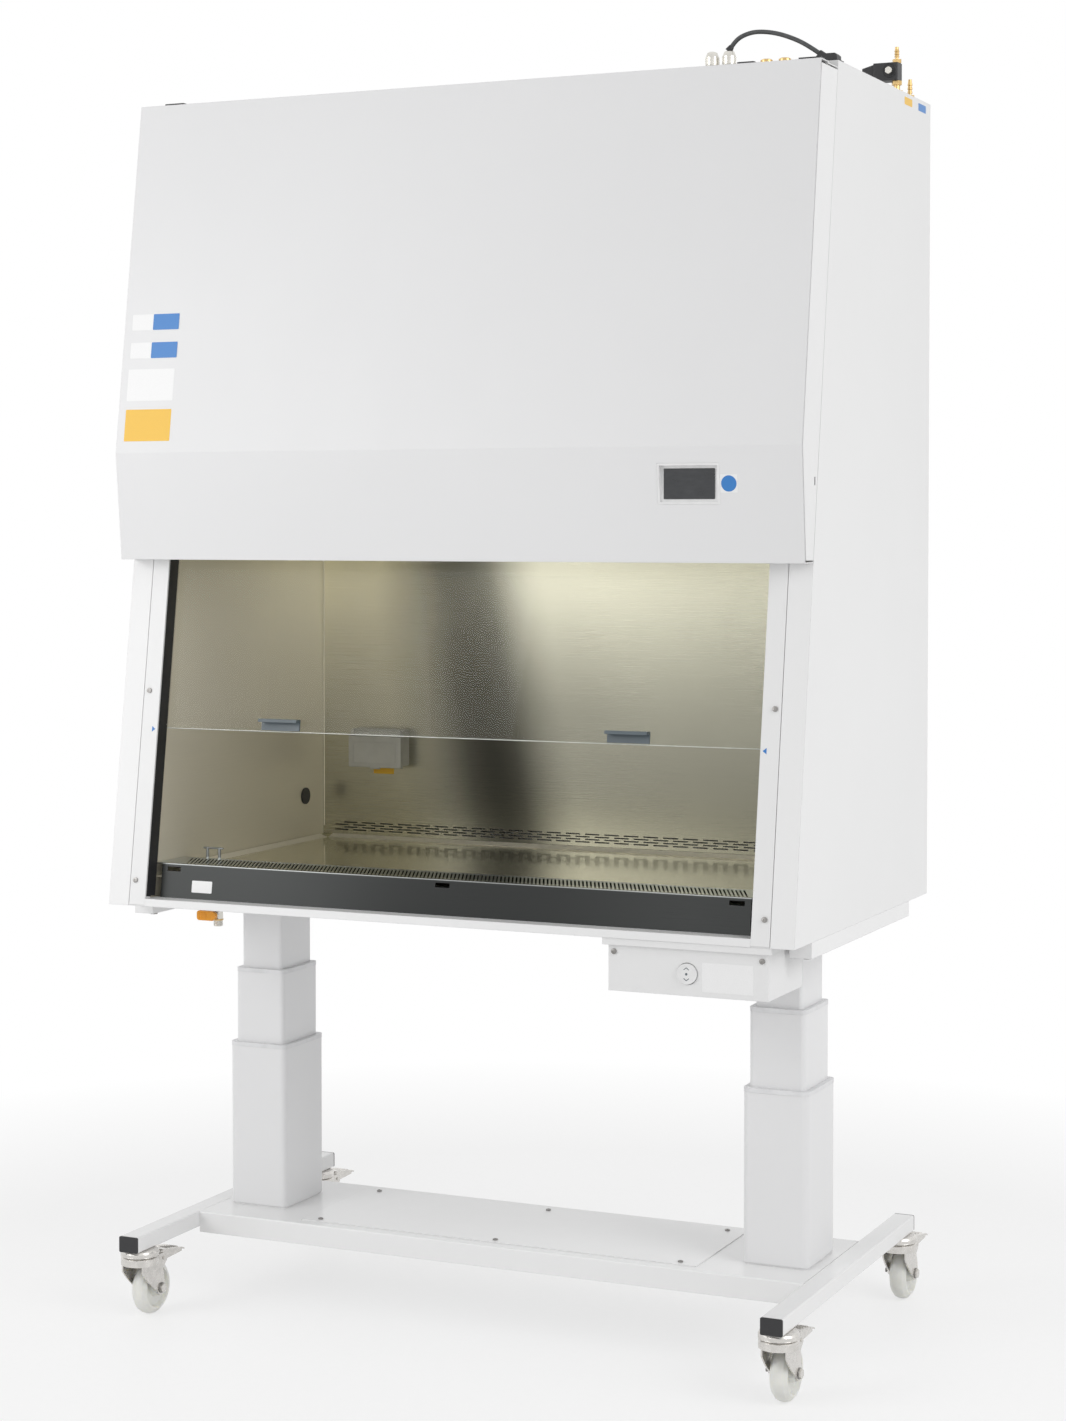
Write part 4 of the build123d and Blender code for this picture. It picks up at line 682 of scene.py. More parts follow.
def raise_faces(piece, wanted, rim, move=(0, 0, 0), depth=0.0):
    """Insets the faces that pass a test by a rim, then moves what is inside it."""
    edit_faces(piece, wanted)
    bpy.ops.mesh.inset(thickness=rim, depth=depth)
    if any(move):
        bpy.ops.transform.translate(value=move)
    close_edit()


def smooth(piece):
    """Shades a piece smooth all over."""
    activate(piece)
    bpy.ops.object.shade_smooth()


def upward(centre_, normal):
    """Whether a face looks up."""
    return normal.z > 0.9


def soften(piece, width, segments=2, angle=35):
    """Rounds a piece's sharp edges and shades it smooth between them."""
    modify(piece, "BEVEL", width=width, segments=segments, limit_method="ANGLE",
           angle_limit=radians(angle))
    activate(piece)
    bpy.ops.object.shade_smooth_by_angle(angle=radians(angle))


def hollow_out(piece, cutter):
    """Cuts one piece out of another and deletes the cutter."""
    modify(piece, "BOOLEAN", operation="DIFFERENCE", object=cutter, solver="EXACT")
    bpy.data.objects.remove(cutter)


def duplicate(piece, name, place):
    """A copy of a piece with its own mesh, moved by a matrix."""
    activate(piece)
    bpy.ops.object.duplicate(linked=False)
    copy = bpy.context.object
    copy.name = name
    copy.data.name = name
    return settle(copy, place)


def join(pieces, name):
    """Joins pieces into one."""
    deselect()
    for piece in pieces:
        piece.select_set(True)
    bpy.context.view_layer.objects.active = pieces[0]
    if len(pieces) > 1:
        bpy.ops.object.join()
    piece = bpy.context.object
    piece.name = name
    piece.data.name = name
    return piece


def dress(piece, material, body):
    """Gives a piece its finish and the body it moves with."""
    piece.data.materials.clear()
    piece.data.materials.append(materials[material])
    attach(piece, body)
    return piece


def facing(place, normal, up=UP):
    """The matrix that lays a flat piece on a surface, with its +Z outwards."""
    outward = Vector(normal).normalized()
    across = Vector(up).cross(outward).normalized()
    along = outward.cross(across)
    turn = Matrix((across, along, outward)).transposed().to_4x4()
    return Matrix.Translation(place) @ turn


def surface(node, start, direction):
    """Where a line from outside first meets a node, and the normal there."""
    start, direction = Vector(start), Vector(direction).normalized()
    found, place, normal, _ = nodes[node].ray_cast(start, direction)
    if not found:
        raise RuntimeError(f"nothing of {node} lies on that line")
    if normal.dot(direction) > 0:
        normal = -normal
    return place, normal


def centre(node):
    """The middle of a node's box."""
    low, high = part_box(node)
    return (low + high) / 2


# ---------------------------------------------------------------- operators

class CABINET_OT_finishes(Operator):
    """Give every part of the frame its finish"""
    bl_idname = "cabinet.finishes"
    bl_label = "Finishes"

    def execute(self, context):
        materials.update(make_materials())
        for finish, names in NODE_FINISH.items():
            for name in names:
                for slot in nodes[name].material_slots:
                    slot.material = materials[finish]
        return {"FINISHED"}


def screw_head(name, radius, height, sides=32):
    """A domed head with a six-sided recess, standing on the origin."""
    head = primitive("cylinder", name, vertices=sides, radius=radius, depth=height,
                     location=(0, 0, height / 2))
    settle(head)
    edit_faces(head, upward)
    bpy.ops.mesh.inset(thickness=radius * 0.28, depth=0)
    bpy.ops.mesh.inset(thickness=radius * 0.25, depth=0)
    bpy.ops.transform.translate(value=(0, 0, height * 0.18))
    close_edit()
    recess = primitive("cylinder", "recess", vertices=6, radius=radius * 0.42, depth=height,
                       location=(0, 0, height * 1.12))
    settle(recess)
    hollow_out(head, recess)
    activate(head)
    bpy.ops.object.shade_smooth_by_angle(angle=radians(30))
    return head


def bolt_head(name, radius, height):
    """A hexagon bolt head with a chamfered crown and a washer face, standing on the origin."""
    head = primitive("cylinder", name, vertices=6, radius=radius, depth=height,
                     location=(0, 0, height / 2))
    settle(head)
    crown = primitive("cone", "crown", vertices=48, radius1=radius * 1.35, radius2=radius * 0.80,
                      depth=height * 1.9, location=(0, 0, height * 0.45))
    settle(crown)
    modify(head, "BOOLEAN", operation="INTERSECT", object=crown, solver="EXACT")
    bpy.data.objects.remove(crown)
    soften(head, 0.0002, 1, 20)
    return head


PILLAR_SCREW_HEIGHTS = (0.833, 1.184)
PILLAR_SCREW_X = 0.620


class CABINET_OT_screws(Operator):
    """Model the pan heads on the front and on the platform cover"""
    bl_idname = "cabinet.screws"
    bl_label = "Screws"

    def execute(self, context):
        radius = sizes().screw_head
        pattern = screw_head("pan_head", radius + 0.0002, 0.0024)
        front_heads = []
        for side in SIDES:
            for z in PILLAR_SCREW_HEIGHTS:
                place, normal = surface("pillar_covers", (side * 0.6255, -0.6, z), BACK)
                place.x = side * PILLAR_SCREW_X
                front_heads.append((place, normal))
        box_low, box_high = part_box("control_box")
        for x in (box_low.x + 0.011, box_high.x - 0.011):
            front_heads.append((Vector((x, box_low.y, box_high.z - 0.012)), -BACK))
        copies = [duplicate(pattern, "head", facing(*seat)) for seat in front_heads]
        dress(join(copies, "front_screw_heads"), "zinc", "cabinet")
        low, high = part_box("platform_screws")
        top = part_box("platform_cover")[1].z
        inset = 0.0045
        seats = [Vector((x, y, top)) for x in (low.x + inset, 0, high.x - inset)
                 for y in (low.y + inset, high.y - inset)]
        copies = [duplicate(pattern, "head", Matrix.Translation(seat)) for seat in seats]
        dress(join(copies, "platform_screw_heads"), "zinc", "stand")
        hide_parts("platform_screws")
        bpy.data.objects.remove(pattern)
        return {"FINISHED"}


# Points of the cable's centre line, in mm to the right of its gland and above its root.
CABLE_ROUTE = ((0, 40), (10, 54), (25, 64), (50, 69.5), (86, 64.5), (120, 52), (146, 38), (167, 23))


class CABINET_OT_roof_cable(Operator):
    """Draw the roof cable from its gland to its inlet"""
    bl_idname = "cabinet.roof_cable"
    bl_label = "Roof cable"

    def execute(self, context):
        low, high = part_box("cable_glands")
        start = Vector((high.x - 0.0138, (low.y + high.y) / 2, high.z - 0.039))
        route = [start + Vector((dx * MM, 0, dz * MM)) for dx, dz in CABLE_ROUTE]
        curve = bpy.data.curves.new("roof_cable_line", "CURVE")
        curve.dimensions = "3D"
        curve.resolution_u = 16
        curve.bevel_depth = sizes().cable_radius
        curve.bevel_resolution = 6
        curve.use_fill_caps = True
        spline = curve.splines.new("NURBS")
        spline.points.add(len(route) - 1)
        for point, place in zip(spline.points, route):
            point.co = (*place, 1.0)
        spline.order_u = 3
        spline.use_endpoint_u = True
        cable = bpy.data.objects.new("roof_cable_line", curve)
        context.scene.collection.objects.link(cable)
        curve.materials.append(materials["rubber"])
        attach(cable, "cabinet")
        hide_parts("roof_cable")
        self.seal(route)
        return {"FINISHED"}

    def seal(self, route):
        """A tapered rubber seal where the cable leaves the gland."""
        radius = sizes().cable_radius
        along = (route[1] - route[0]).normalized()
        seal = primitive("cone", "gland_seal", vertices=40, radius1=radius + 0.0030,
                         radius2=radius + 0.0006, depth=0.010, location=(0, 0, 0.003))
        settle(seal, facing(route[0], along, BACK))
        soften(seal, 0.0004)
        dress(seal, "black", "cabinet")


class CABINET_OT_glands(Operator):
    """Model the grip ribs and sealing washers of the cable glands"""
    bl_idname = "cabinet.glands"
    bl_label = "Glands"

    def execute(self, context):
        low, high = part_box("cable_glands")
        y, base = (low.y + high.y) / 2, low.z
        pieces = []
        for x in (low.x + 0.0139, high.x - 0.0139):
            for turn in range(sizes().gland_ribs):
                angle = 2 * pi * turn / sizes().gland_ribs
                rib = bar("rib", (0.0016, 0.0016, 0.0125))
                edit_faces(rib, lambda centre_, normal: abs(normal.z) > 0.9)
                bpy.ops.mesh.inset(thickness=0.0002, depth=0)
                bpy.ops.transform.resize(value=(0.7, 0.7, 1.0))
                close_edit()
                out = Vector((cos(angle), sin(angle), 0)) * 0.0119
                settle(rib, Matrix.Translation(Vector((x, y, base + 0.0215)) + out)
                       @ Matrix.Rotation(angle, 4, "Z"))
                pieces.append(rib)
            pieces.append(ring("washer", 0.0122, 0.0008,
                               Matrix.Translation((x, y, base + 0.0128)), 40))
        ribs = join(pieces, "gland_grip_ribs")
        soften(ribs, 0.0002, 1)
        dress(ribs, "nickel", "cabinet")
        return {"FINISHED"}


def rounded_plate(name, width, height, thickness, corner):
    """A thin plate with round corners, lying on the origin with its face to +Z."""
    plate = primitive("plane", name, size=1.0)
    plate.scale = (width, height, 1)
    settle(plate)
    activate(plate)
    bpy.context.tool_settings.mesh_select_mode = (True, False, False)
    bpy.ops.object.mode_set(mode="EDIT")
    bpy.ops.mesh.select_all(action="SELECT")
    bpy.ops.mesh.bevel(offset=corner, segments=5, affect="VERTICES")
    close_edit()
    return thicken(plate, thickness)


# Blank markers on the front cover: tone, x, z, width and height, in metres.
HOOD_MARKERS = (
    ("film", -0.6095, 1.8735, 0.098, 0.030), ("film", -0.6095, 1.8205, 0.098, 0.030),
    ("film", -0.6095, 1.7555, 0.100, 0.060), ("yellow", -0.6095, 1.680, 0.099, 0.060),
    ("blue", -0.5850, 1.8735, 0.056, 0.030), ("blue", -0.5850, 1.8205, 0.056, 0.030),
)
# Blank markers elsewhere: name, node, where the line of sight starts and goes, tone and size.
FIXED_MARKERS = (
    ("apron_label", "front_grille", (-0.4955, IN_FRONT, 0.823), BACK, "film", 0.043, 0.022),
    ("socket_label", "chamber_back_wall", (-0.4575, 0.1, 0.9875), BACK, "yellow", 0.047, 0.014),
    ("gas_marker", "side_panels", (0.9, 0.2085, 2.2805), -RIGHT, "yellow", 0.048, 0.014),
    ("vacuum_marker", "side_panels", (0.9, 0.2975, 2.2805), -RIGHT, "blue", 0.048, 0.014),
    ("control_label", "control_box", (0.553, IN_FRONT, 0.728), BACK, "film", 0.092, 0.050),
)


def lay_film(name, seat, size, tone, body, corner=0.0015):
    """Lays a blank film with round corners at a place and normal."""
    plate = rounded_plate(name, *size, sizes().label_thickness, corner)
    settle(plate, facing(*seat))
    return dress(plate, tone, body)


class CABINET_OT_blank_markers(Operator):
    """Lay the blank labels and colour markers on the panels"""
    bl_idname = "cabinet.blank_markers"
    bl_label = "Blank markers"

    def execute(self, context):
        film = sizes().label_thickness
        for index, (tone, x, z, width, height) in enumerate(HOOD_MARKERS):
            place, normal = surface("front_cover", (x, IN_FRONT, z), BACK)
            lift = film if tone == "blue" else 0.0
            lay_film(f"hood_marker_{index + 1}", (place + normal * lift, normal),
                     (width, height), tone, "hood")
        self.round_marker(film)
        for name, node, start, direction, tone, width, height in FIXED_MARKERS:
            lay_film(name, surface(node, start, direction), (width, height), tone, "cabinet")
        self.sash_arrows(film)
        return {"FINISHED"}

    def round_marker(self, film):
        """The blue disc on its white square, beside the display."""
        place, normal = surface("front_cover", (0.5435, IN_FRONT, 1.565), BACK)
        lay_film("hood_square_marker", (place, normal), (0.031, 0.031), "film", "hood", 0.001)
        disc = primitive("circle", "hood_round_marker", vertices=48, radius=0.0138,
                         fill_type="NGON")
        thicken(disc, film, rim=0.0012)
        settle(disc, facing(place + normal * film, normal))
        dress(disc, "blue", "hood")

    def sash_arrows(self, film):
        """Small arrows on the pillars at the sash's working height."""
        for side, name in zip(SIDES, ("left_sash_arrow", "right_sash_arrow")):
            place, normal = surface("pillar_covers", (side * 0.606, IN_FRONT, 1.113), BACK)
            arrow = primitive("circle", name, vertices=3, radius=0.0062, fill_type="NGON")
            arrow.rotation_euler = (0, 0, radians(90) * side)
            arrow.scale = (1, 0.75, 1)
            settle(arrow)
            thicken(arrow, film)
            settle(arrow, facing(place, normal))
            dress(arrow, "blue", "cabinet")


class CABINET_OT_display(Operator):
    """Fit the display's dark glass into its bezel"""
    bl_idname = "cabinet.display"
    bl_label = "Display"

    def execute(self, context):
        middle = centre("display_panel")
        place, normal = surface("display_panel", (middle.x, IN_FRONT, middle.z), BACK)
        glass = rounded_plate("display_glass", 0.0935, 0.0525, 0.0005, 0.0012)
        settle(glass, facing(place + normal * 0.0001, normal))
        dress(glass, "screen", "hood")
        return {"FINISHED"}


class CABINET_OT_lift_button(Operator):
    """Raise the arrows and the dot on the lift button"""
    bl_idname = "cabinet.lift_button"
    bl_label = "Lift button"

    def execute(self, context):
        low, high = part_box("control_button")
        face = Vector(((low.x + high.x) / 2, low.y, (low.z + high.z) / 2))
        pieces = []
        for way in (-1, 1):
            for side in SIDES:
                stroke = bar("bar", (0.0062, 0.0012, 0.0005))
                raise_faces(stroke, upward, 0.0003)
                turn = Matrix.Rotation(-side * way * radians(38), 4, "Z")
                move = Matrix.Translation((side * 0.0024, way * 0.0092, 0))
                pieces.append(settle(stroke, facing(face, -BACK) @ move @ turn))
        dot = primitive("cylinder", "dot", vertices=24, radius=0.0022, depth=0.0006)
        pieces.append(settle(dot, facing(face, -BACK)))
        marks = join(pieces, "lift_button_marks")
        soften(marks, 0.00015, 1)
        dress(marks, "slate", "lift_button")
        return {"FINISHED"}


class CABINET_OT_casters(Operator):
    """Add the pedals' ribs, the swivel races and the stub of each axle thread"""
    bl_idname = "cabinet.casters"
    bl_label = "Casters"

    def execute(self, context):
        for caster in CASTERS:
            self.pedal_ribs(caster)
            self.swivel_race(caster)
            self.axle_end(caster)
        return {"FINISHED"}

    def pedal_ribs(self, caster):
        """Raised ribs across the pedal's tread."""
        pedal = f"{caster}_brake_pedal"
        low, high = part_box(pedal)
        first, pitch, sunk = 0.014, 0.0085, 0.0004
        ribs = []
        for index in range(sizes().pedal_ribs):
            y = high.y - first - index * pitch
            place, normal = surface(pedal, ((low.x + high.x) / 2, y, high.z + 0.05), -UP)
            rib = primitive("cylinder", "rib", vertices=16, radius=0.0016, depth=0.032)
            rib.rotation_euler = (0, radians(90), 0)
            settle(rib, Matrix.Translation(place - normal * sunk))
            soften(rib, 0.0012, 3, 60)
            ribs.append(rib)
        dress(join(ribs, f"{caster}_pedal_ribs"), "caster", f"{caster}_brake")

    def swivel_race(self, caster):
        """The rolled rim and the ball race between the head and the fork."""
        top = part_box(f"{caster}_fork")[1].z
        wheel = centre(f"{caster}_wheel")
        trail = 0.038
        axis = Vector((wheel.x, wheel.y - trail, top))
        rings = [ring(name, radius, thickness, Matrix.Translation(axis + UP * rise), 64, 10)
                 for name, radius, thickness, rise in (("rim", 0.0348, 0.0011, 0.0058),
                                                       ("lower", 0.0352, 0.0009, 0.0022))]
        race = join(rings, f"{caster}_swivel_rim")
        smooth(race)
        dress(race, "caster", "stand")

    def axle_end(self, caster):
        """The bolt's thread standing out of its nut, and a washer under its head."""
        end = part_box(f"{caster}_fork")[0].x - 0.0002
        wheel = centre(f"{caster}_wheel")
        pitch, half_track = 0.0009, 0.0243
        across = Matrix.Rotation(radians(90), 4, "Y")
        turns = []
        for index in range(3):
            place = Matrix.Translation((end + index * pitch, wheel.y, wheel.z))
            turns.append(ring("turn", 0.0038, 0.0006, place @ across, 28))
        for x in (wheel.x - half_track, wheel.x + half_track):
            washer = primitive("cylinder", "washer", vertices=40, radius=0.0100, depth=0.0014)
            washer.rotation_euler = (0, radians(90), 0)
            washer.location = (x, wheel.y, wheel.z)
            settle(washer)
            soften(washer, 0.0003)
            turns.append(washer)
        thread = join(turns, f"{caster}_axle_washers")
        activate(thread)
        bpy.ops.object.shade_smooth_by_angle(angle=radians(40))
        dress(thread, "zinc", f"{caster}_caster")


class CABINET_OT_drain(Operator):
    """Add the drain's thread, its brass ring and the lever's grip ribs"""
    bl_idname = "cabinet.drain"
    bl_label = "Drain valve"

    def execute(self, context):
        low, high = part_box("drain_valve")
        x, y = (low.x + high.x) / 2, high.y - 0.013
        end, pitch = low.z + 0.0015, 0.0018
        turns = [ring("turn", 0.0080, 0.0007, Matrix.Translation((x, y, end + index * pitch)), 40)
                 for index in range(sizes().thread_turns)]
        thread = join(turns, "drain_thread")
        smooth(thread)
        dress(thread, "nickel", "cabinet")
        collar = primitive("cylinder", "drain_brass_ring", vertices=48, radius=0.0094,
                           depth=0.0030, location=(x, y, high.z - 0.0275))
        settle(collar)
        raise_faces(collar, lambda centre_, normal: abs(normal.z) < 0.5, 0.0006, depth=0.0004)
        soften(collar, 0.0003)
        dress(collar, "brass", "cabinet")
        self.lever_ribs()
        return {"FINISHED"}

    def lever_ribs(self):
        """Ribs moulded across the lever's grip."""
        low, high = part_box("drain_handle")
        first, pitch = low.x + 0.006, 0.0045
        ribs = []
        for index in range(4):
            rib = primitive("cylinder", "rib", vertices=12, radius=0.0009, depth=0.014,
                            location=(first + index * pitch, low.y + 0.0002,
                                      (low.z + high.z) / 2))
            settle(rib)
            soften(rib, 0.0006, 2, 60)
            ribs.append(rib)
        dress(join(ribs, "drain_lever_ribs"), "amber", "valve_lever")


class CABINET_OT_sash(Operator):
    """Add the glass's polished lower edge and the slim guides at its sides"""
    bl_idname = "cabinet.sash"
    bl_label = "Sash details"

    def execute(self, context):
        low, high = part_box("sash_glass")
        edge = bar("sash_edge_profile", (high.x - low.x - 0.002, 0.0062, 0.0016))
        raise_faces(edge, upward, 0.0004, (0, 0, -0.0002))
        turn = Matrix.Rotation(-FRONT_LEAN, 4, "X")
        settle(edge, Matrix.Translation((0, low.y + 0.0031, low.z + 0.0006)) @ turn)
        soften(edge, 0.0004, 2)
        dress(edge, "glass_edge", "sash")
        self.guide_strips(turn)
        return {"FINISHED"}

    def guide_strips(self, turn):
        """The slim black guides that the glass runs between, and the pillars' black linings."""
        low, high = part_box("sash_guides")
        middle = (low + high) / 2
        width, depth, end_gap = 0.0035, 0.0152, 0.006
        lining, reveal = 0.0008, 0.0150
        length = (high.z - low.z) / cos(FRONT_LEAN) - end_gap
        strips = []
        for side in SIDES:
            place = Matrix.Translation((side * (high.x - width / 2), middle.y, middle.z))
            strips.append(bar("strip", (width, depth, length), place @ turn))
            start = (0, middle.y - (depth + reveal) / 2, middle.z)
            pillar, _ = surface("pillar_covers", start, side * RIGHT)
            place = Matrix.Translation((pillar.x - side * lining / 2, start[1], middle.z))
            strips.append(bar("sheet", (lining, reveal, length), place @ turn))
        guides = join(strips, "sash_guide_strips")
        soften(guides, 0.0002, 1)
        dress(guides, "black", "cabinet")
        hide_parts("sash_guides")


class CABINET_OT_chamber_trim(Operator):
    """Lay the tray's side and rear rims and the chamber's rear corner joints, coloured as painted
    highlights
    """
    bl_idname = "cabinet.chamber_trim"
    bl_label = "Chamber trim"

    def execute(self, context):
        low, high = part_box("work_tray")
        run, drop, film = 0.018, 0.006, 0.0003
        margin = 0.002 + run / 2
        corners = 0.044
        slope, width = atan2(drop, run), hypot(run, drop)
        z = high.z - drop / 2 + film
        pieces = []
        for side in SIDES:
            place = Matrix.Translation((side * (high.x - margin), (low.y + high.y) / 2, z))
            pieces.append(bar("rim", (width, high.y - low.y - corners, film),
                              place @ Matrix.Rotation(-side * slope, 4, "Y")))
            wall, _ = surface("chamber_back_wall", (side * 0.57, 0.1, 1.2), BACK)
            pieces.append(bar("joint", (0.0022, 0.0010, 0.565),
                              Matrix.Translation((side * 0.5975, wall.y - 0.0004, 1.15))))
        place = Matrix.Translation((0, high.y - margin, z))
        pieces.append(bar("rim", (high.x - low.x - corners, width, film),
                          place @ Matrix.Rotation(slope, 4, "X")))
        trim = join(pieces, "chamber_trim")
        soften(trim, 0.0001, 1)
        dress(trim, "trim", "cabinet")
        return {"FINISHED"}


class CABINET_OT_lamp(Operator):
    """Light the lamp's tube and cap its ends"""
    bl_idname = "cabinet.lamp"
    bl_label = "Lamp"

    def execute(self, context):
        low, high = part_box("lamp")
        y, z = (low.y + high.y) / 2, low.z + 0.010
        tube = primitive("cylinder", "lamp_tube", vertices=32, radius=0.0083, depth=1.12)
        tube.rotation_euler = (0, radians(90), 0)
        tube.location = (0, y, z)
        settle(tube)
        raise_faces(tube, lambda centre_, normal: abs(normal.x) > 0.9, 0.002, depth=0.001)
        soften(tube, 0.0008)
        dress(tube, "glow", "cabinet")
        caps = []
        for side in SIDES:
            cap = primitive("cylinder", "cap", vertices=32, radius=0.0088, depth=0.026)
            cap.rotation_euler = (0, radians(90), 0)
            cap.location = (side * 0.572, y, z)
            settle(cap)
            soften(cap, 0.0010)
            caps.append(cap)
        dress(join(caps, "lamp_tube_caps"), "nickel", "cabinet")
        return {"FINISHED"}


class CABINET_OT_roof_fittings(Operator):
    """Finish the solenoid, the unions and the exhaust filter on the roof"""
    bl_idname = "cabinet.roof_fittings"
    bl_label = "Roof fittings"

    def execute(self, context):
        self.solenoid_nut()
        self.union_caps()
        self.filter_pleats()
        return {"FINISHED"}

    def solenoid_nut(self):
        """The coil's clamping nut and the raised ring round it."""
        low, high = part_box("solenoid_valve")
        x, z = high.x - 0.016, low.z + 0.022
        nut = bolt_head("solenoid_nut", 0.0072, 0.0050)
        settle(nut, facing(Vector((x, low.y + 0.0044, z)), -BACK))
        dress(nut, "nickel", "cabinet")
        collar = ring("solenoid_ring", 0.0125, 0.0009,
                      facing(Vector((x, low.y + 0.0060, z)), -BACK))
        smooth(collar)
        dress(collar, "black", "cabinet")

    def union_caps(self):
        """White flanges over the two low unions in the front row."""
        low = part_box("brass_fittings")[0]
        y = centre("cable_glands").y
        caps = []
        for x in (low.x + 0.015, low.x + 0.049):
            cap = primitive("cylinder", "cap", vertices=48, radius=0.0155, depth=0.0080,
                            location=(x, y, low.z + 0.0042))
            settle(cap)
            raise_faces(cap, upward, 0.0035, (0, 0, 0.0016))
            soften(cap, 0.0008)
            caps.append(cap)
        dress(join(caps, "union_flanges"), "bezel", "cabinet")

    def filter_pleats(self):
        """The exhaust filter's pleats, seen through the roof's slots."""
        folds, width, depth = 96, 0.560, 0.320
        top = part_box("roof_panel")[1].z - 0.0085
        sheet = primitive("grid", "exhaust_pleats", x_subdivisions=folds, y_subdivisions=1,
                          size=1.0)
        sheet.scale = (width, depth, 1)
        settle(sheet, Matrix.Translation((0, 0.060, top)))
        activate(sheet)
        for vertex in sheet.data.vertices:
            vertex.select = round((vertex.co.x / width + 0.5) * folds) % 2 == 1
        bpy.context.tool_settings.mesh_select_mode = (True, False, False)
        bpy.ops.object.mode_set(mode="EDIT")
        bpy.ops.transform.translate(value=(0, 0, -0.012))
        close_edit()
        modify(sheet, "SOLIDIFY", thickness=0.0006)
        dress(sheet, "paper", "cabinet")


class CABINET_OT_socket(Operator):
    """Add the socket flap's raised panel and its latch"""
    bl_idname = "cabinet.socket"
    bl_label = "Socket cover"

    def execute(self, context):
        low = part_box("socket_cover")[0]
        middle = centre("socket_cover")
        panel = rounded_plate("socket_flap_panel", 0.098, 0.044, 0.0010, 0.004)
        raise_faces(panel, upward, 0.0030, depth=-0.0005)
        seat = Vector((middle.x, low.y - 0.0001, low.z + 0.0305))
        settle(panel, facing(seat, -BACK))
        soften(panel, 0.0003, 2)
        dress(panel, "socket", "socket_flap")
        latch = bar("socket_flap_latch", (0.022, 0.005, 0.006),
                    Matrix.Translation((middle.x, low.y + 0.0030, low.z + 0.0005)))
        raise_faces(latch, lambda centre_, normal: normal.y < -0.9, 0.0010, (0, -0.0008, 0))
        soften(latch, 0.0006)
        dress(latch, "socket", "socket_flap")
        return {"FINISHED"}


class CABINET_OT_rear_screws(Operator):
    """Fasten the rear panel with its rows of screws"""
    bl_idname = "cabinet.rear_screws"
    bl_label = "Rear screws"

    def execute(self, context):
        low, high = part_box("back_panel")
        pattern = screw_head("rear_head", 0.0045, 0.0022)
        seats = []
        rows, spans = 7, 4
        margin, end = 0.016, 0.04
        for index in range(rows):
            z = low.z + end + (high.z - low.z - 2 * end) * index / (rows - 1)
            seats += [Vector((x, high.y, z)) for x in (low.x + margin, high.x - margin)]
        for index in range(1, spans):
            x = low.x + (high.x - low.x) * index / spans
            seats += [Vector((x, high.y, z)) for z in (low.z + margin, high.z - margin)]
        copies = [duplicate(pattern, "head", facing(seat, BACK)) for seat in seats]
        dress(join(copies, "rear_screw_heads"), "zinc", "cabinet")
        bpy.data.objects.remove(pattern)
        return {"FINISHED"}


# ---------------------------------------------------------------- studio

def straight_rays(tree):
    """1 for rays from the camera, off a gloss or through the glass, else 0."""
    rays = tree.nodes.new("ShaderNodeLightPath").outputs
    seen = arithmetic(tree, "MAXIMUM", rays["Is Camera Ray"], rays["Is Glossy Ray"])
    return arithmetic(tree, "MAXIMUM", seen, rays["Is Transmission Ray"])


def floor_material():
    """A pale floor that fades into a white background away from the cabinet."""
    material, tree, shader = new_material("studio_floor", (0.90, 0.90, 0.90), 0.55)
    grain = noise(tree, 60.0, detail=4.0)
    tone = blend_colours(tree, spread(tree, grain, 0.0, 1.0), (0.89, 0.89, 0.89),
                         (0.91, 0.91, 0.91))
    tree.links.new(tone, shader.inputs["Base Color"])
    fade = tree.nodes.new("ShaderNodeTexGradient")
    fade.gradient_type = "SPHERICAL"
    tree.links.new(object_space(tree, (0.42, 0.42, 0.42)), fade.inputs["Vector"])
    far = spread(tree, fade.outputs["Fac"], 1.0, 0.62, 0.0, 0.45)
    strength = arithmetic(tree, "MULTIPLY", far, straight_rays(tree))
    white = tree.nodes.new("ShaderNodeEmission")
    white.inputs["Color"].default_value = (1, 1, 1, 1)
    mix = tree.nodes.new("ShaderNodeMixShader")
    output = tree.nodes["Material Output"]
    tree.links.new(strength, mix.inputs["Fac"])
    tree.links.new(shader.outputs["BSDF"], mix.inputs[1])
    tree.links.new(white.outputs["Emission"], mix.inputs[2])
    tree.links.new(mix.outputs["Shader"], output.inputs["Surface"])
    return material


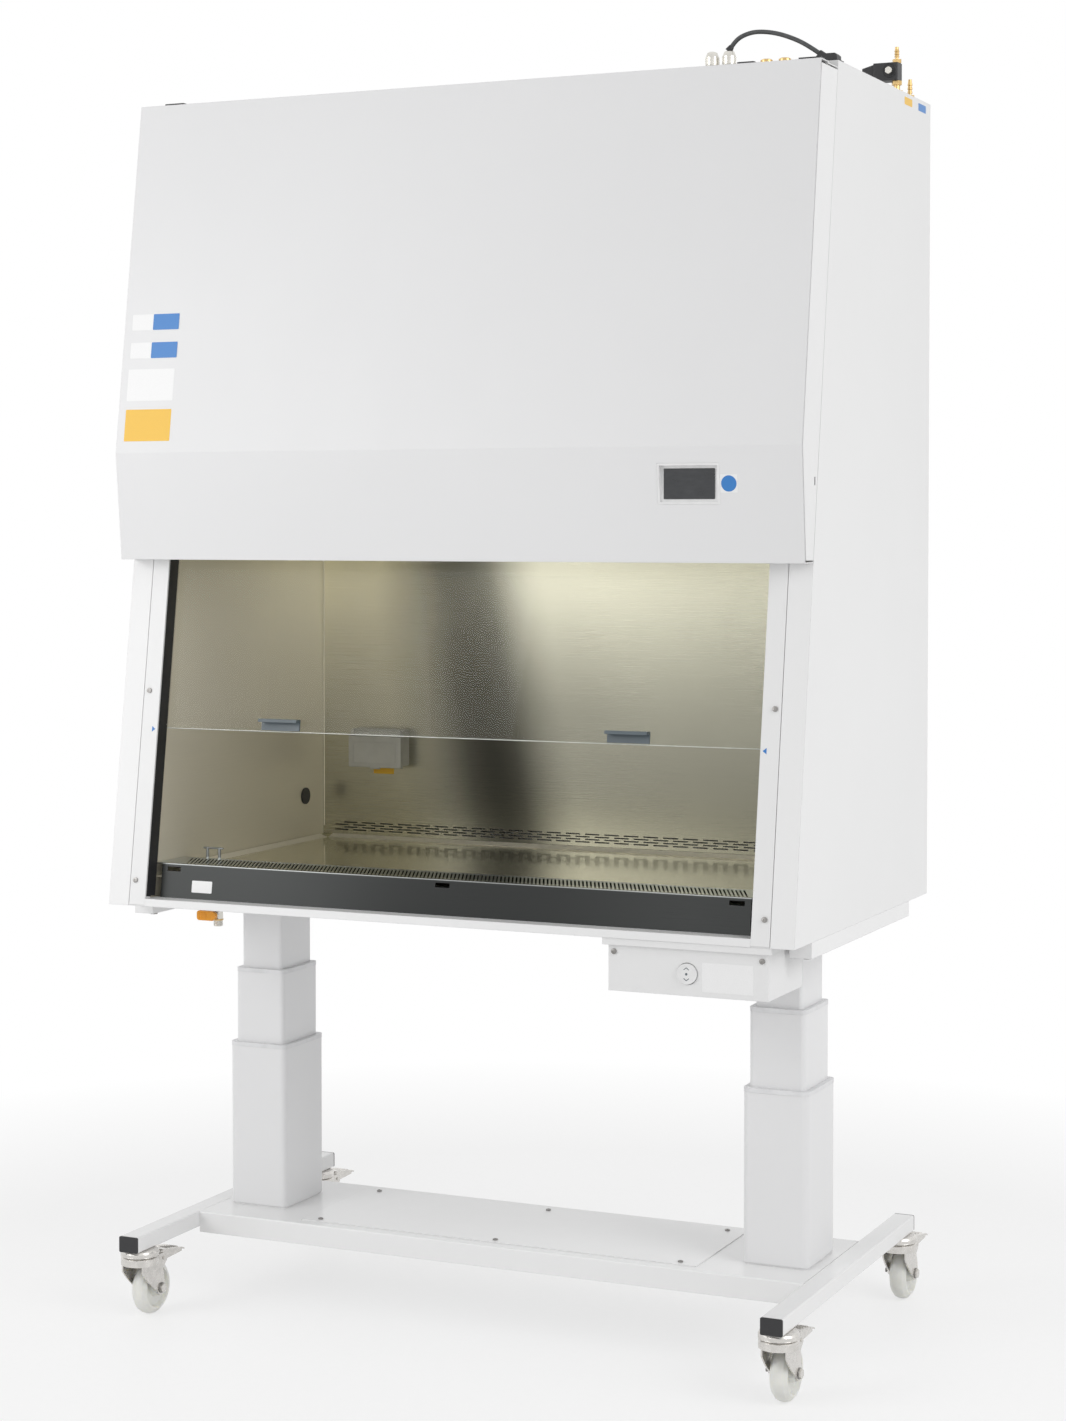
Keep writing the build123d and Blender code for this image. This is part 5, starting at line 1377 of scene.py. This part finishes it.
class CABINET_OT_stage(Operator):
    """Set up the floor, the soft light, the white background and the camera"""
    bl_idname = "cabinet.stage"
    bl_label = "Stage"

    def execute(self, context):
        context.scene.view_settings.view_transform = "Standard"
        self.floor()
        self.world(context)
        self.light("key_light", studio().key_power, (5.2, -1.6, 3.6), (0, 0, 1.3), 3.2)
        self.light("fill_light", studio().fill_power, (-2.6, -3.4, 2.2), (-0.3, -0.4, 1.4), 2.4)
        self.camera(context)
        return {"FINISHED"}

    def floor(self):
        """A large plane under the wheels."""
        plane = primitive("plane", "studio_floor", size=60.0)
        plane.data.materials.append(floor_material())

    def world(self, context):
        """Even light, and white where the camera, a gloss or the glass sees the background."""
        world = bpy.data.worlds.new("studio_world")
        world.use_nodes = True
        tree = world.node_tree
        even = tree.nodes["Background"]
        even.inputs["Color"].default_value = (1.0, 1.0, 1.0, 1.0)
        even.inputs["Strength"].default_value = studio().ambient
        white = tree.nodes.new("ShaderNodeBackground")
        white.inputs["Color"].default_value = (1.0, 1.0, 1.0, 1.0)
        white.inputs["Strength"].default_value = 1.0
        mix = tree.nodes.new("ShaderNodeMixShader")
        tree.links.new(straight_rays(tree), mix.inputs["Fac"])
        tree.links.new(even.outputs["Background"], mix.inputs[1])
        tree.links.new(white.outputs["Background"], mix.inputs[2])
        tree.links.new(mix.outputs["Shader"], tree.nodes["World Output"].inputs["Surface"])
        context.scene.world = world

    def light(self, name, power, place, target, size):
        """A square soft light aimed at a point."""
        lamp = bpy.data.lights.new(name, "AREA")
        lamp.energy = power
        lamp.shape = "SQUARE"
        lamp.size = size
        stand = bpy.data.objects.new(name, lamp)
        aim = Vector(target) - Vector(place)
        stand.location = place
        stand.rotation_euler = aim.to_track_quat("-Z", "Y").to_euler()
        bpy.context.scene.collection.objects.link(stand)

    def camera(self, context):
        """The camera, at chest height and to the right of the cabinet."""
        settings = studio()
        lens = bpy.data.cameras.new("studio_camera")
        lens.lens = settings.lens
        lens.shift_y = settings.camera_shift
        lens.clip_end = 100.0
        camera = bpy.data.objects.new("studio_camera", lens)
        camera.location = settings.camera_place
        camera.rotation_euler = (radians(90) - settings.camera_pitch, 0, settings.camera_yaw)
        context.scene.collection.objects.link(camera)
        context.scene.camera = camera


STEPS = (
    CABINET_OT_stage, CABINET_OT_finishes, CABINET_OT_roof_cable, CABINET_OT_screws,
    CABINET_OT_glands, CABINET_OT_roof_fittings, CABINET_OT_blank_markers, CABINET_OT_display,
    CABINET_OT_lift_button, CABINET_OT_casters, CABINET_OT_drain, CABINET_OT_sash,
    CABINET_OT_chamber_trim, CABINET_OT_lamp, CABINET_OT_socket, CABINET_OT_rear_screws,
)


class CABINET_PT_dresser(Panel):
    """The sidebar panel that lists the cabinet's settings and steps"""
    bl_idname = "CABINET_PT_dresser"
    bl_label = "Biosafety cabinet"
    bl_space_type = "VIEW_3D"
    bl_region_type = "UI"
    bl_category = "Cabinet"

    def draw(self, context):
        layout = self.layout
        for group in (finishes(), sizes(), studio()):
            column = layout.column(align=True)
            for key in group.bl_rna.properties.keys():
                if key not in {"rna_type", "name"}:
                    column.prop(group, key)
        for step in STEPS:
            layout.operator(step.bl_idname)


GROUPS = {"cabinet_finishes": CabinetFinishes, "cabinet_sizes": CabinetSizes,
          "cabinet_studio": CabinetStudio}


def register():
    """Registers the settings, the steps and the panel."""
    for name, group in GROUPS.items():
        bpy.utils.register_class(group)
        setattr(bpy.types.Scene, name, PointerProperty(type=group))
    for step in STEPS:
        bpy.utils.register_class(step)
    bpy.utils.register_class(CABINET_PT_dresser)


def unregister():
    """Removes what register added."""
    bpy.utils.unregister_class(CABINET_PT_dresser)
    for step in reversed(STEPS):
        bpy.utils.unregister_class(step)
    for name, group in GROUPS.items():
        delattr(bpy.types.Scene, name)
        bpy.utils.unregister_class(group)


def main():
    """Registers the steps and runs each one to dress the cabinet."""
    register()
    for step in STEPS:
        group, name = step.bl_idname.split(".")
        getattr(getattr(bpy.ops, group), name)()
    deselect()


if __name__ == "__main__":
    main()
